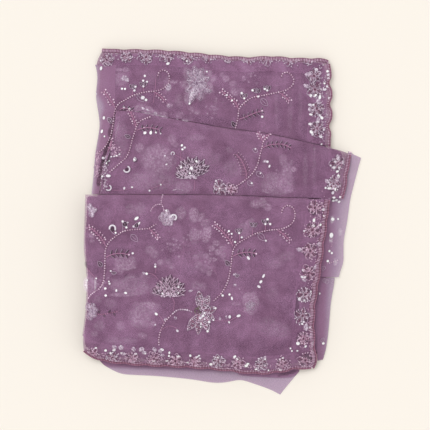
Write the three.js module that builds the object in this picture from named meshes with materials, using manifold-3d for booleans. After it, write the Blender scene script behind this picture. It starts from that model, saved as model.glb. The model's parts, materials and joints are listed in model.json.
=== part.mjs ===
// A net saree, folded and laid flat in three stepped stacks. All sizes are millimetres, +Z up.
// The saree is folded in four across its width into a strip, and the strip is folded to and fro:
// the back stack lies on the table, the middle stack on its near part and the front stack on both.
// The top ply of each stack shows. It is a thin wall with a scalloped, beaded border along its
// cut edges, and it curls over a fold along the others. The plies under it are one layered solid.
import * as THREE from "three";
import { mergeVertices } from "three/addons/utils/BufferGeometryUtils.js";
import Module from "manifold-3d";

// ---------- driving dimensions ----------
const SAREE_WIDTH = 1150; // cut width of the net, from selvedge to selvedge
const STRIP_WIDTH = SAREE_WIDTH / 4; // the strip that is left once the width is folded in four
const BACK_STACK = 11; // height of the back stack, about 20 plies of beaded net
const MIDDLE_STACK = 9;
const FRONT_STACK = 11;
const CLOTH = 1.2; // wall of a top ply with its embroidery
const LOOSE_PLY = 1.0; // wall of a single ply that has slipped out of the stacks
const SEAM_GAP = 0.4; // between pieces that are sewn together
const FOLD_RADIUS = 2.6; // outside of the curl of a top ply over a fold
const FOLD_CURL = 115; // degrees that the curl turns through
const BORDER_DEPTH = 28; // from the border's seam to the outside of its edging, as laid
const FLOWER_PITCH = 25; // one border flower and one scallop
const EDGING_WIDTH = 4; // beaded cord along the scallops
const EDGING_HEIGHT = 2.6;
const RIDGE = 2.2; // how far a layer's edge stands out of the stack's side

// ---------- outlines of the stacks, as laid ----------
// Sides run from front to back and give x at y, ends run from left to right and give y at x.
const backLeft = edge("y", "x", [
  { y: -164, x: -158 }, { y: -94, x: -157 }, { y: -20, x: -158 }, { y: 20, x: -157 },
  { y: 33, x: -156.3 }, { y: 56, x: -153.9 }, { y: 80, x: -152.1 }, { y: 104, x: -147.9 },
  { y: 118, x: -146.1 }, { y: 131, x: -147.9 }, { y: 155, x: -151.5 }, { y: 172, x: -148.5 },
  { y: 182, x: -149.7 }, { y: 191, x: -151.6 }, { y: 200, x: -146.7 }, { y: 207, x: -143.9 },
]);
const backRight = edge("y", "x", [
  { y: -170, x: 117.9 }, { y: -161, x: 123.3 }, { y: -148, x: 125.7 }, { y: -130, x: 128.1 },
  { y: -94, x: 131.1 }, { y: -68, x: 135.6 }, { y: 26, x: 132.9 }, { y: 89, x: 132 },
  { y: 110, x: 133 }, { y: 136, x: 134.4 }, { y: 164, x: 134 }, { y: 187, x: 132.4 },
  { y: 197, x: 127.5 },
]);
const backEnd = edge("x", "y", [
  { x: -144, y: 207 }, { x: -86, y: 206.4 }, { x: -62, y: 205.2 }, { x: -26, y: 202.2 },
  { x: -2, y: 199.8 }, { x: 34, y: 198 }, { x: 54, y: 199.2 }, { x: 94, y: 196.8 },
  { x: 118, y: 196.8 }, { x: 129, y: 192.5 },
]);
const backFront = edge("x", "y", [
  { x: -158, y: -156 }, { x: -98, y: -168.6 }, { x: -26, y: -172.2 }, { x: 34, y: -173.4 },
  { x: 94, y: -173.4 }, { x: 120, y: -167 },
]);
const middleLeft = edge("y", "x", [
  { y: -170, x: -158 }, { y: -110, x: -155.5 }, { y: 0, x: -156 }, { y: 34, x: -146.1 }, { y: 56, x: -144.9 },
  { y: 68, x: -142.5 }, { y: 86, x: -136.5 }, { y: 101, x: -131.7 }, { y: 134, x: -126.9 },
]);
const middleRight = edge("y", "x", [
  { y: -170, x: 106 }, { y: -110, x: 105 }, { y: -66, x: 112 }, { y: -10, x: 117 }, { y: 14, x: 121 }, { y: 26, x: 145.5 },
  { y: 38, x: 149.1 }, { y: 50, x: 151.5 }, { y: 68, x: 153.9 }, { y: 82, x: 156.3 },
]);
const middleEnd = edge("x", "y", [
  { x: -127, y: 133.8 }, { x: -104, y: 132.6 }, { x: -86, y: 129.6 }, { x: -62, y: 124.2 },
  { x: -26, y: 118.2 }, { x: -2, y: 113.4 }, { x: 34, y: 108.6 }, { x: 58, y: 105 },
  { x: 82, y: 100.2 }, { x: 106, y: 94.2 }, { x: 131, y: 89.4 }, { x: 146, y: 86.2 },
  { x: 157, y: 80 },
]);
const frontLeft = edge("y", "x", [
  { y: -157, x: -165.3 }, { y: -148, x: -167.1 }, { y: -130, x: -165.9 }, { y: -106, x: -162.9 },
  { y: -73, x: -161.1 }, { y: -49, x: -162.9 }, { y: -31, x: -165.3 }, { y: -10, x: -164.1 },
  { y: 33, x: -163.2 },
]);
const frontRight = edge("y", "x", [
  { y: -172, x: 111 }, { y: -165, x: 114.8 }, { y: -160, x: 114.3 }, { y: -142, x: 111.9 },
  { y: -118, x: 111.3 }, { y: -94, x: 113.1 }, { y: -70, x: 116.7 }, { y: -46, x: 120.3 },
  { y: -22, x: 123.3 }, { y: 2, x: 126.9 }, { y: 28, x: 129 },
]);
const frontEnd = edge("x", "y", [
  { x: -163, y: 33 }, { x: -26, y: 32.4 }, { x: 40, y: 30.8 }, { x: 82, y: 28.8 },
  { x: 128, y: 28.2 },
]);
const frontHem = edge("x", "y", [
  { x: -166, y: -156 }, { x: -154, y: -163.8 }, { x: -138, y: -168.6 }, { x: -98, y: -172.8 },
  { x: -50, y: -175.2 }, { x: -8, y: -178.2 }, { x: 22, y: -181.8 }, { x: 44, y: -183.6 },
  { x: 70, y: -181.2 }, { x: 90, y: -177.6 }, { x: 104, y: -177.2 }, { x: 114, y: -171 },
]);
const middleFront = (x) => frontHem(x) + 6;

// ---------- outlines of the single plies that show beyond the stacks ----------
const slippedRight = edge("y", "x", [
  { y: -66, x: 140.4 }, { y: -56, x: 143.1 }, { y: -49, x: 146.1 }, { y: -22, x: 146.1 },
  { y: -10, x: 148.5 }, { y: 8, x: 151.5 }, { y: 26, x: 153.9 }, { y: 41, x: 157.5 },
  { y: 64, x: 163.5 }, { y: 77, x: 167.1 },
]);
const slippedEnd = edge("x", "y", [{ x: 156, y: 81.5 }, { x: 162, y: 79.5 }, { x: 167, y: 77 }]);
// The near ply ends in a pulled corner, so its edge is straight between these rows.
const slippedHem = [
  { x: -146, y: -166.5 }, { x: -142, y: -171.6 }, { x: -132, y: -177 }, { x: -124, y: -181 },
  { x: -116, y: -183 }, { x: -98, y: -183.6 }, { x: -74, y: -184.8 }, { x: -50, y: -187.2 },
  { x: -32, y: -189 }, { x: -14, y: -192.6 }, { x: -2, y: -193.2 }, { x: 10, y: -191.4 },
  { x: 20, y: -189 }, { x: 28, y: -190.2 }, { x: 40, y: -194.4 }, { x: 58, y: -200.4 },
  { x: 70, y: -207 }, { x: 79, y: -195.5 }, { x: 86, y: -187.4 }, { x: 93, y: -179 },
];
const wedgeHem = [
  { x: 20, y: -183.4 }, { x: 40, y: -185.6 }, { x: 62, y: -186.4 }, { x: 85, y: -187.2 },
  { x: 92, y: -179.4 },
];

// ---------- heights of the stacks' top faces ----------
const OUTSIDE_FALL = 26; // past a stack's edge, what lies on it sinks to the table in this length

function skinBack(x, y) {
  const laidLow = smooth((y - 20) / 30); // the far part's left edge is a loose ply, near the table
  const bordered = smooth((y + 60) / 90); // the far part's right edge is the stiff border
  const left = bulge(x - backLeft(y), 12 + 8 * laidLow, 0.75 - 0.63 * laidLow);
  const right = droop(backRight(y) - x, 28, 0.18 + 0.32 * bordered);
  const back = bulge(backEnd(x) - y, 13, 0.3);
  const front = droop(y - backFront(x), 26, 0.3);
  return BACK_STACK * left * right * back * front + ripple(x, y, 0.3) * left * right;
}
// The middle stack's plies on the back stack, before the top one curls over its folds.
function laidMiddle(x, y) {
  const left = droop(x - middleLeft(y), 10, 0.7);
  const back = droop(middleEnd(x) - y, 12, 0.8);
  const right = droop(middleRight(y) - x, 34, 0.4);
  const front = droop(y - middleFront(x), 34, 0.35);
  return skinBack(x, y) + MIDDLE_STACK * left * back * right * front + ripple(x, y, 0.35) * right;
}
function skinMiddle(x, y) {
  return laidMiddle(x, y) - roundOff(x - middleLeft(y)) - roundOff(middleEnd(x) - y);
}
function skinFront(x, y) {
  const left = x - frontLeft(y);
  const back = frontEnd(x) - y;
  const right = droop(frontRight(y) - x, 34, 0.38);
  const front = droop(y - frontHem(x), 34, 0.38);
  const height = FRONT_STACK * droop(left, 12, 0.72) * droop(back, 12, 0.78) * right * front;
  const curls = roundOff(left) + roundOff(back);
  return underFront(x, y) + height - curls + ripple(x, y, 0.45) * right * front;
}
// The front stack is stiff enough to stand out past the left shoulders of those below.
function underFront(x, y) {
  return laidMiddle(Math.max(x, middleLeft(y) + 9), y);
}
const skinSlipped = (x, y) => Math.max(skinBack(x, y), 0) + LOOSE_PLY + 0.6;

// Long low waves of cloth that was smoothed by hand.
function ripple(x, y, amount) {
  return amount * (Math.sin(x / 31 + y / 57) + 0.7 * Math.sin(y / 21 - x / 66));
}

// ---------- small helpers ----------
function clamp(v, low = 0, high = 1) {
  return Math.min(high, Math.max(low, v));
}
function lerp(a, b, f) {
  return a + (b - a) * f;
}
function smooth(f) {
  const c = clamp(f);
  return c * c * (3 - 2 * c);
}
// 1 inside, down to share at the edge over width, then to nothing past the edge.
function droop(d, width, share) {
  if (d < 0) return share * clamp(1 + d / OUTSIDE_FALL) ** 2;
  const q = clamp(1 - d / width);
  return 1 - (1 - share) * q * q;
}
// The same, with the side of a rounded roll.
function bulge(d, width, share) {
  if (d < 0) return share * clamp(1 + d / OUTSIDE_FALL) ** 2;
  const q = clamp(1 - d / width);
  return share + (1 - share) * Math.sqrt(1 - q * q);
}
// How far a curled ply is below its flat, d in from its outermost line.
function roundOff(d) {
  const q = clamp(1 - d / FOLD_RADIUS);
  return FOLD_RADIUS * (1 - Math.sqrt(1 - q * q));
}
// A smooth curve that never overshoots its rows: value as a function of key.
function edge(key, value, rows) {
  const k = rows.map((row) => row[key]);
  const v = rows.map((row) => row[value]);
  const rise = k.slice(1).map((next, i) => (v[i + 1] - v[i]) / (next - k[i]));
  const slope = v.map((_, i) => {
    if (i === 0 || i === v.length - 1) return rise[Math.min(i, rise.length - 1)];
    if (rise[i - 1] * rise[i] <= 0) return 0;
    return 2 / (1 / rise[i - 1] + 1 / rise[i]);
  });
  return (at) => {
    const c = clamp(at, k[0], k[k.length - 1]);
    const i = clamp(k.findIndex((next) => next > c) - 1, 0, k.length - 2);
    const cell = c >= k[k.length - 1] ? k.length - 2 : i;
    const h = k[cell + 1] - k[cell];
    const f = (c - k[cell]) / h;
    const hermite = (2 * f ** 3 - 3 * f ** 2 + 1) * v[cell] + (3 * f ** 2 - 2 * f ** 3) * v[cell + 1];
    return hermite + h * f * (1 - f) * ((1 - f) * slope[cell] - f * slope[cell + 1]);
  };
}
// Straight lines between rows.
function brokenLine(rows) {
  return (x) => {
    const i = clamp(rows.findIndex((row) => row.x > x) - 1, 0, rows.length - 2);
    const cell = x >= rows[rows.length - 1].x ? rows.length - 2 : i;
    const f = clamp((x - rows[cell].x) / (rows[cell + 1].x - rows[cell].x));
    return lerp(rows[cell].y, rows[cell + 1].y, f);
  };
}
const moved = (curve, by) => (at) => curve(at) + by;

// ---------- grids on a piece's four edges ----------
// A station is one grid line. It says where it lies between a low and a high edge, start in from
// the one and end in from the other, and how far a curl has taken it below the skin.
const FOLD_ANGLES = [FOLD_CURL, 90, 62, 31];
const atShare = (share) => ({ start: 0, end: 0, share, below: 0 });
const foldStations = () =>
  FOLD_ANGLES.map((degrees) => {
    const angle = THREE.MathUtils.degToRad(degrees);
    const below = Math.min(0, 2 * FOLD_RADIUS * Math.cos(angle));
    return { start: FOLD_RADIUS * (1 - Math.sin(angle)), end: 0, share: 0, below };
  });
function evenStations(count, start = 0, end = 0) {
  return Array.from({ length: count }, (_, i) => ({ start, end, share: i / (count - 1), below: 0 }));
}
const nearLow = (...insets) => insets.map((start) => ({ start, end: 0, share: 0, below: 0 }));
const nearHigh = (...insets) => insets.map((end) => ({ start: 0, end, share: 1, below: 0 }));
const foldedThenEven = (count) => [
  ...foldStations(),
  ...nearLow(FOLD_RADIUS, 6),
  ...evenStations(count, 11),
];

function placed(station, low, high) {
  const way = Math.sign(high - low);
  return lerp(low + way * station.start, high - way * station.end, station.share);
}
// The plan point where two stations cross. Edges are near the axes, so this settles quickly.
function crossing(outline, across, along) {
  let x = 0;
  let y = 0;
  for (let round = 0; round < 8; round++) {
    x = placed(across, outline.left(y), outline.right(y));
    y = placed(along, outline.back(x), outline.front(x));
  }
  return { x, y };
}
function gridOn(outline, skin, columns, rows) {
  return columns.map((across) =>
    rows.map((along) => {
      const { x, y } = crossing(outline, across, along);
      return new THREE.Vector3(x, y, skin(x, y) + across.below + along.below);
    }),
  );
}
function gridNormals(grid) {
  const last = { i: grid.length - 1, j: grid[0].length - 1 };
  return grid.map((column, i) =>
    column.map((_, j) => {
      const east = grid[Math.min(i + 1, last.i)][j].clone().sub(grid[Math.max(i - 1, 0)][j]);
      const south = grid[i][Math.min(j + 1, last.j)].clone().sub(grid[i][Math.max(j - 1, 0)]);
      return south.cross(east).normalize();
    }),
  );
}
function shifted(grid, normals, by) {
  return grid.map((column, i) =>
    column.map((p, j) => p.clone().addScaledVector(normals[i][j], by)),
  );
}

// ---------- closed meshes from triangles ----------
class Shell {
  constructor() {
    this.corners = [];
  }
  triangle(a, b, c) {
    for (const p of [a, b, c]) this.corners.push(p.x, p.y, p.z);
  }
  quad(a, b, c, d) {
    this.triangle(a, b, c);
    this.triangle(a, c, d);
  }
  geometry() {
    const position = new THREE.Float32BufferAttribute(this.corners, 3);
    const made = mergeVertices(new THREE.BufferGeometry().setAttribute("position", position), 1e-3);
    return made;
  }
}
// The index pairs round a grid's edge, clockwise seen from above.
function rimOf(grid) {
  const right = grid.length - 1;
  const near = grid[0].length - 1;
  const pairs = [];
  for (let i = 0; i < right; i++) pairs.push([i, 0]);
  for (let j = 0; j < near; j++) pairs.push([right, j]);
  for (let i = right; i > 0; i--) pairs.push([i, near]);
  for (let j = near; j > 0; j--) pairs.push([0, j]);
  return pairs;
}
function addFace(shell, grid, up) {
  for (let i = 0; i + 1 < grid.length; i++) {
    for (let j = 0; j + 1 < grid[0].length; j++) {
      const ring = [grid[i][j], grid[i][j + 1], grid[i + 1][j + 1], grid[i + 1][j]];
      shell.quad(...(up ? ring : ring.reverse()));
    }
  }
}
// Rings run round the rim from the top face to the bottom face.
function addRim(shell, rings) {
  for (let k = 0; k + 1 < rings.length; k++) {
    const above = rings[k];
    const below = rings[k + 1];
    above.forEach((p, i) => {
      const next = (i + 1) % above.length;
      shell.quad(p, above[next], below[next], below[i]);
    });
  }
}
function solidBetween(top, bottom, middleRings = []) {
  const shell = new Shell();
  const pairs = rimOf(top);
  addFace(shell, top, true);
  addFace(shell, bottom, false);
  const ringOf = (grid) => pairs.map(([i, j]) => grid[i][j]);
  addRim(shell, [ringOf(top), ...middleRings, ringOf(bottom)]);
  return shell.geometry();
}

// ---------- a panel of cloth ----------
function clothPanel({ outline, skin, columns, rows, wall }) {
  const outside = gridOn(outline, skin, columns, rows);
  return solidBetween(outside, shifted(outside, gridNormals(outside), -wall));
}

// ---------- a border: a strip of net with one raised flower to each scallop ----------
const FLOWER_CENTRE = 0.5; // of the border's depth, from the seam
const FLOWER_MARGIN = 0.7; // net left outside the petals' tips
const FLOWER_RINGS = [
  { tip: 2.6, notch: 2.4, tipRise: 1.1, notchRise: 1.0 },
  { tip: 6.8, notch: 4.4, tipRise: 1.8, notchRise: 0.6 },
  { tip: 9.2, notch: 5.6, tipRise: 0.15, notchRise: 0.05 },
];
const FLOWER_HEART = 1.5; // rise of the bead cluster in the middle
// A cell's edge, in shares of its length and depth, one point to each tip and notch.
const CELL_EDGE = [
  { u: 0, q: 0 }, { u: 1 / 3, q: 0 }, { u: 2 / 3, q: 0 }, { u: 1, q: 0 }, { u: 1, q: 0.5 },
  { u: 1, q: 1 }, { u: 2 / 3, q: 1 }, { u: 1 / 3, q: 1 }, { u: 0, q: 1 }, { u: 0, q: 0.5 },
];
const FIRST_TIP = THREE.MathUtils.degToRad(-144);
const TIP_STEP = (2 * Math.PI) / CELL_EDGE.length;

// surface(u, q) is the cloth's skin, u along the border and q from its seam to its scallops.
function normalOf(surface, u, q) {
  const step = 1e-3;
  const at = clamp(u, step, 1 - step);
  const along = surface(at + step, q).sub(surface(at - step, q));
  const across = surface(at, q + step).sub(surface(at, q - step));
  const normal = along.cross(across).normalize();
  return normal.z < 0 ? normal.negate() : normal;
}
function borderStrip({ surface, cells }) {
  const shell = new Shell();
  const length = surface(0, 0.5).distanceTo(surface(1, 0.5));
  const depth = surface(0.5, 0).distanceTo(surface(0.5, 1));
  const largest = FLOWER_RINGS[FLOWER_RINGS.length - 1].tip;
  const scale = Math.min(1, (depth * FLOWER_CENTRE - FLOWER_MARGIN) / largest);
  const flips = turnsOver(surface);
  const face = (a, b, c) => (flips ? shell.triangle(a, c, b) : shell.triangle(a, b, c));
  const raised = (u, q, rise) => surface(u, q).addScaledVector(normalOf(surface, u, q), rise);

  for (let cell = 0; cell < cells; cell++) {
    const uAt = (share) => (cell + share) / cells;
    const heart = { u: uAt(0.5), q: FLOWER_CENTRE };
    const rings = FLOWER_RINGS.map((ring) =>
      CELL_EDGE.map((_, k) => {
        const tip = k % 2 === 0;
        const radius = scale * (tip ? ring.tip : ring.notch);
        const angle = FIRST_TIP + k * TIP_STEP;
        const u = heart.u + (radius * Math.cos(angle)) / length;
        const q = heart.q + (radius * Math.sin(angle)) / depth;
        return raised(u, q, tip ? ring.tipRise : ring.notchRise);
      }),
    );
    const upper = CELL_EDGE.map((p) => raised(uAt(p.u), p.q, 0));
    const lower = CELL_EDGE.map((p) => raised(uAt(p.u), p.q, -CLOTH));
    const all = [...rings, upper];
    const top = raised(heart.u, heart.q, FLOWER_HEART);
    const bottom = raised(heart.u, heart.q, -CLOTH);
    CELL_EDGE.forEach((p, k) => {
      const next = (k + 1) % CELL_EDGE.length;
      face(top, all[0][k], all[0][next]);
      for (let r = 0; r + 1 < all.length; r++) {
        face(all[r][k], all[r + 1][k], all[r + 1][next]);
        face(all[r][k], all[r + 1][next], all[r][next]);
      }
      face(bottom, lower[next], lower[k]);
      const after = CELL_EDGE[next];
      const onSide = p.q === after.q && (p.q === 0 || p.q === 1);
      const onEnd = p.u === after.u && ((p.u === 0 && cell === 0) || (p.u === 1 && cell === cells - 1));
      if (onSide || onEnd) {
        face(upper[k], lower[k], lower[next]);
        face(upper[k], lower[next], upper[next]);
      }
    });
  }
  return shell.geometry();
}
function turnsOver(surface) {
  const along = surface(0.6, 0.5).sub(surface(0.4, 0.5));
  return along.cross(surface(0.5, 0.6).sub(surface(0.5, 0.4))).z < 0;
}
// The border's outer edge swells out once for each flower, and is plain at its two ends.
function scalloped(surface, cells, swell, outward) {
  return (u, q) => {
    const lobe = Math.abs(Math.sin(Math.PI * cells * clamp(u))) ** 0.7 - 1;
    const fromEnd = smooth(2 * cells * Math.min(clamp(u), 1 - clamp(u)));
    return surface(u, q).addScaledVector(outward, swell * lobe * fromEnd * clamp(q) ** 3);
  };
}

// ---------- the beaded edging: an oval cord along the scallops ----------
const EDGING_SIDES = 6;
const EDGING_STEPS = 3; // to each scallop, at the points of the border's own edge
function edgingCord({ surface, cells }) {
  const steps = cells * EDGING_STEPS;
  const rings = [];
  for (let k = 0; k <= steps; k++) {
    const u = k / steps;
    const normal = normalOf(surface, u, 1);
    const out = surface(u, 1).sub(surface(u, 0.97)).normalize();
    const centre = surface(u, 1).addScaledVector(out, SEAM_GAP + EDGING_WIDTH / 2);
    centre.addScaledVector(normal, -CLOTH / 2);
    rings.push(
      Array.from({ length: EDGING_SIDES }, (_, side) => {
        const angle = (2 * Math.PI * side) / EDGING_SIDES;
        return centre
          .clone()
          .addScaledVector(out, (Math.cos(angle) * EDGING_WIDTH) / 2)
          .addScaledVector(normal, (Math.sin(angle) * EDGING_HEIGHT) / 2);
      }),
    );
  }
  const shell = new Shell();
  const flips = turnsOver(surface);
  const oriented = flips ? rings.map((ring) => [...ring].reverse()) : rings;
  addRim(shell, oriented);
  const cap = (ring) => {
    for (let side = 1; side + 1 < ring.length; side++) shell.triangle(ring[0], ring[side], ring[side + 1]);
  };
  cap([...oriented[0]].reverse());
  cap(oriented[steps]);
  return shell.geometry();
}

// ---------- a beaded motif: a low pad just clear of the cloth that it is worked on ----------
function skinNormal(skin, x, y) {
  const step = 0.5;
  const east = (skin(x + step, y) - skin(x - step, y)) / (2 * step);
  const north = (skin(x, y + step) - skin(x, y - step)) / (2 * step);
  return new THREE.Vector3(-east, -north, 1).normalize();
}
function motifPad({ skin, centre, turn, rings, heart, petals, reach }) {
  const shell = new Shell();
  const count = petals * 2;
  const at = (radius, k, rise) => {
    const angle = THREE.MathUtils.degToRad(turn) + (Math.PI * k) / petals;
    const stretch = reach ? reach(angle) : 1;
    const x = centre.x + radius * stretch * Math.cos(angle);
    const y = centre.y + radius * stretch * Math.sin(angle);
    const normal = skinNormal(skin, x, y);
    return new THREE.Vector3(x, y, skin(x, y)).addScaledVector(normal, SEAM_GAP + rise);
  };
  const loops = rings.map((ring) =>
    Array.from({ length: count }, (_, k) => {
      const tip = k % 2 === 0;
      return at(tip ? ring.tip : ring.notch, k, tip ? ring.tipRise : ring.notchRise);
    }),
  );
  const outer = rings[rings.length - 1];
  const base = loops[0].map((_, k) => at(k % 2 === 0 ? outer.tip : outer.notch, k, 0));
  const top = at(0, 0, heart);
  const bottom = at(0, 0, 0);
  for (let k = 0; k < count; k++) {
    const next = (k + 1) % count;
    shell.triangle(top, loops[0][k], loops[0][next]);
    for (let r = 0; r + 1 < loops.length; r++) {
      shell.quad(loops[r][k], loops[r + 1][k], loops[r + 1][next], loops[r][next]);
    }
    shell.quad(loops[loops.length - 1][k], base[k], base[next], loops[loops.length - 1][next]);
    shell.triangle(bottom, base[next], base[k]);
  }
  return shell.geometry();
}

// ---------- the plies inside a stack ----------
const TOP_CLEARANCE = CLOTH + 0.9; // under the top ply
const UNDER_CURL = FOLD_RADIUS + 2; // height left free behind a curl
const STACK_BITE = 1.5; // stacks share this much, so that they join in one solid
const LEAST_STACK = 1.5;
const TABLE = 0;
const GROOVE = 0.3; // how far the hollows between the layers stand out

// A ply made of flat facets lies a little under its own curve.
const FACET = 7; // half a facet's length
function facetedSkin(skin, x, y) {
  const across = (skin(x - FACET, y) + skin(x + FACET, y)) / 2;
  const along = (skin(x, y - FACET) + skin(x, y + FACET)) / 2;
  return Math.min(skin(x, y), across, along);
}
// Outward direction in plan of a grid's rim point.
function outwardAt([i, j], grid) {
  const x = i === 0 ? -1 : i === grid.length - 1 ? 1 : 0;
  const y = j === 0 ? 1 : j === grid[0].length - 1 ? -1 : 0;
  return new THREE.Vector3(x, y, 0).normalize();
}
// insets: how far in from each side the plies' edges lie. ridges: layers that show at the sides.
// tuck: height left free at the two folded sides, behind the top ply's curl.
function stackOfPlies({ outline, insets, skin, under, ridges, tuck, columns, rows }) {
  const inner = {
    left: (y) => outline.left(y) + insets.left(y),
    right: moved(outline.right, -insets.right),
    back: moved(outline.back, -insets.back),
    front: moved(outline.front, insets.front),
  };
  const floor = (x, y) => Math.max(TABLE, under(x, y));
  const ceiling = (x, y) => Math.max(facetedSkin(skin, x, y) - TOP_CLEARANCE, floor(x, y) + LEAST_STACK);
  const top = gridOn(inner, ceiling, columns, rows);
  const bottom = gridOn(inner, floor, columns, rows);
  const pairs = rimOf(top);
  const ringAt = (level, stand) =>
    pairs.map((pair, index) => {
      const high = top[pair[0]][pair[1]];
      const low = bottom[pair[0]][pair[1]];
      const way = outwardAt(pair, top);
      const folded = way.x < 0 || way.y > 0;
      const uneven = 0.35 * Math.sin(index * 1.7 + level * 9) + 0.25 * Math.sin(index * 0.6 - level * 5);
      const p = high.clone().addScaledVector(way, stand * (1 + uneven * Math.sign(stand)));
      const roof = Math.min(ceiling(p.x, p.y), high.z) - (folded ? tuck : 0.3);
      p.z = lerp(low.z, Math.max(roof, low.z + 0.8), level);
      return p;
    });
  const rings = [];
  for (let layer = ridges - 1; layer >= 0; layer--) {
    rings.push(ringAt((layer + 0.95) / ridges, GROOVE));
    rings.push(ringAt((layer + 0.68) / ridges, RIDGE));
    rings.push(ringAt((layer + 0.3) / ridges, RIDGE));
  }
  return solidBetween(top, bottom, rings);
}

// ---------- joining ----------
const wasm = await Module();
wasm.setup();
function manifoldOf(geometry) {
  return new wasm.Manifold(
    new wasm.Mesh({
      numProp: 3,
      vertProperties: geometry.attributes.position.array,
      triVerts: new Uint32Array(geometry.index.array),
    }),
  );
}
// Pockets that the stacks close in between them are filled.
function joined(geometries) {
  const sum = geometries.map(manifoldOf).reduce((all, next) => all.add(next));
  const outer = sum.decompose().filter((body) => body.volume() > 0);
  const mesh = outer.reduce((all, next) => all.add(next)).getMesh();
  return new THREE.BufferGeometry()
    .setAttribute("position", new THREE.BufferAttribute(mesh.vertProperties, mesh.numProp))
    .setIndex(new THREE.BufferAttribute(mesh.triVerts, 1));
}

// ---------- the pieces' own edges ----------
const EDGE_TO_NET = EDGING_WIDTH + SEAM_GAP; // from the outermost line in to the net's cut edge
const ROLLED_EDGE_TO_NET = 3; // the same in plan where the edging hangs down a stack's end
const BACK_HEM_DEPTH = 20; // the far border rolls over the edge, so less of it lies flat
const FRONT_HEM_DEPTH = 23;
const MITRE_GAP = 0.6; // on each side of a mitre
const STEEP_MITRE_GAP = 1.6; // where both borders also roll over the edge
const half = SEAM_GAP / 2;

const frontSideSeam = moved(frontRight, -BORDER_DEPTH);
const frontHemSeam = moved(frontHem, FRONT_HEM_DEPTH);
const middleSideSeam = moved(middleRight, -BORDER_DEPTH);
const backSideSeam = moved(backRight, -BORDER_DEPTH - 3);
const backHemSeam = moved(backEnd, -BACK_HEM_DEPTH);
const farLeftSeam = () => -127.2; // between the far panel and the loose ply at its left
const farFront = moved(middleEnd, 2 * SEAM_GAP);

// Where a side border meets a hem border, they are mitred along the line from the corner of
// their seams to the corner of their scallops.
function mitre({ sideSeam, hemSeam, side, hem, near }) {
  let inner = near;
  let outer = near;
  for (let round = 0; round < 8; round++) {
    inner = { x: sideSeam(inner.y), y: hemSeam(inner.x) };
    outer = { x: side(outer.y), y: hem(outer.x) };
  }
  const xStep = (outer.x - inner.x) / (outer.y - inner.y);
  return {
    atX: (x) => inner.y + (x - inner.x) / xStep,
    atY: (y) => inner.x + (y - inner.y) * xStep,
  };
}
const frontMitre = mitre({
  sideSeam: frontSideSeam,
  hemSeam: frontHemSeam,
  side: moved(frontRight, -EDGE_TO_NET),
  hem: moved(frontHem, ROLLED_EDGE_TO_NET),
  near: { x: 100, y: -160 },
});
const backMitre = mitre({
  sideSeam: backSideSeam,
  hemSeam: backHemSeam,
  side: moved(backRight, -EDGE_TO_NET),
  hem: moved(backEnd, -ROLLED_EDGE_TO_NET),
  near: { x: 110, y: 185 },
});

const outlines = {
  front: { left: frontLeft, right: frontRight, back: frontEnd, front: frontHem },
  middle: { left: middleLeft, right: middleRight, back: middleEnd, front: middleFront },
  back: { left: backLeft, right: backRight, back: backEnd, front: backFront },
};
const frontPanel = {
  left: frontLeft,
  right: moved(frontSideSeam, -half),
  back: frontEnd,
  front: moved(frontHemSeam, SEAM_GAP),
};
const frontSideBand = {
  left: moved(frontSideSeam, half),
  right: moved(frontRight, -EDGE_TO_NET),
  back: moved(frontEnd, -SEAM_GAP),
  front: moved(frontMitre.atX, MITRE_GAP),
};
const frontHemBand = {
  left: moved(frontLeft, SEAM_GAP),
  right: moved(frontMitre.atY, -MITRE_GAP),
  back: moved(frontHemSeam, -half),
  front: moved(frontHem, ROLLED_EDGE_TO_NET),
};
const middlePanel = {
  left: middleLeft,
  right: moved(middleSideSeam, -half),
  back: middleEnd,
  front: moved(frontEnd, 2 * SEAM_GAP),
};
const middleSideBand = {
  left: moved(middleSideSeam, half),
  right: moved(middleRight, -EDGE_TO_NET),
  back: moved(middleEnd, -SEAM_GAP),
  front: moved(frontEnd, SEAM_GAP),
};
const backPanel = {
  left: moved(farLeftSeam, half),
  right: moved(backSideSeam, -half),
  back: moved(backHemSeam, -half),
  front: farFront,
};
const backSideBand = {
  left: moved(backSideSeam, half),
  right: moved(backRight, -EDGE_TO_NET),
  back: moved(backMitre.atX, -STEEP_MITRE_GAP),
  front: farFront,
};
const backHemBand = {
  left: moved(backLeft, SEAM_GAP),
  right: moved(backMitre.atY, -STEEP_MITRE_GAP),
  back: moved(backEnd, -ROLLED_EDGE_TO_NET),
  front: moved(backHemSeam, half),
};
const loosePlies = {
  left: {
    left: backLeft,
    right: (y) => (y > 134 ? farLeftSeam() - half : middleLeft(y) - SEAM_GAP),
    back: moved(backHemSeam, -SEAM_GAP),
    front: moved(frontEnd, SEAM_GAP),
  },
  right: {
    left: (y) => (y > 28.4 ? middleRight(y) : frontRight(y)) + SEAM_GAP,
    right: slippedRight,
    back: slippedEnd,
    front: () => -66,
  },
  nearRight: {
    left: moved(frontRight, SEAM_GAP),
    right: backRight,
    back: () => -66.6,
    front: moved(backFront, 2),
  },
};

// ---------- materials ----------
const net = new THREE.MeshStandardMaterial({ color: 0x8a6482, roughness: 0.85, metalness: 0 });
const looseNet = new THREE.MeshStandardMaterial({ color: 0xab93a8, roughness: 0.85, metalness: 0 });
const embroidery = new THREE.MeshStandardMaterial({ color: 0xae92b0, roughness: 0.5, metalness: 0 });
const beadedCord = new THREE.MeshStandardMaterial({ color: 0xab7895, roughness: 0.45, metalness: 0 });

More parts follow.
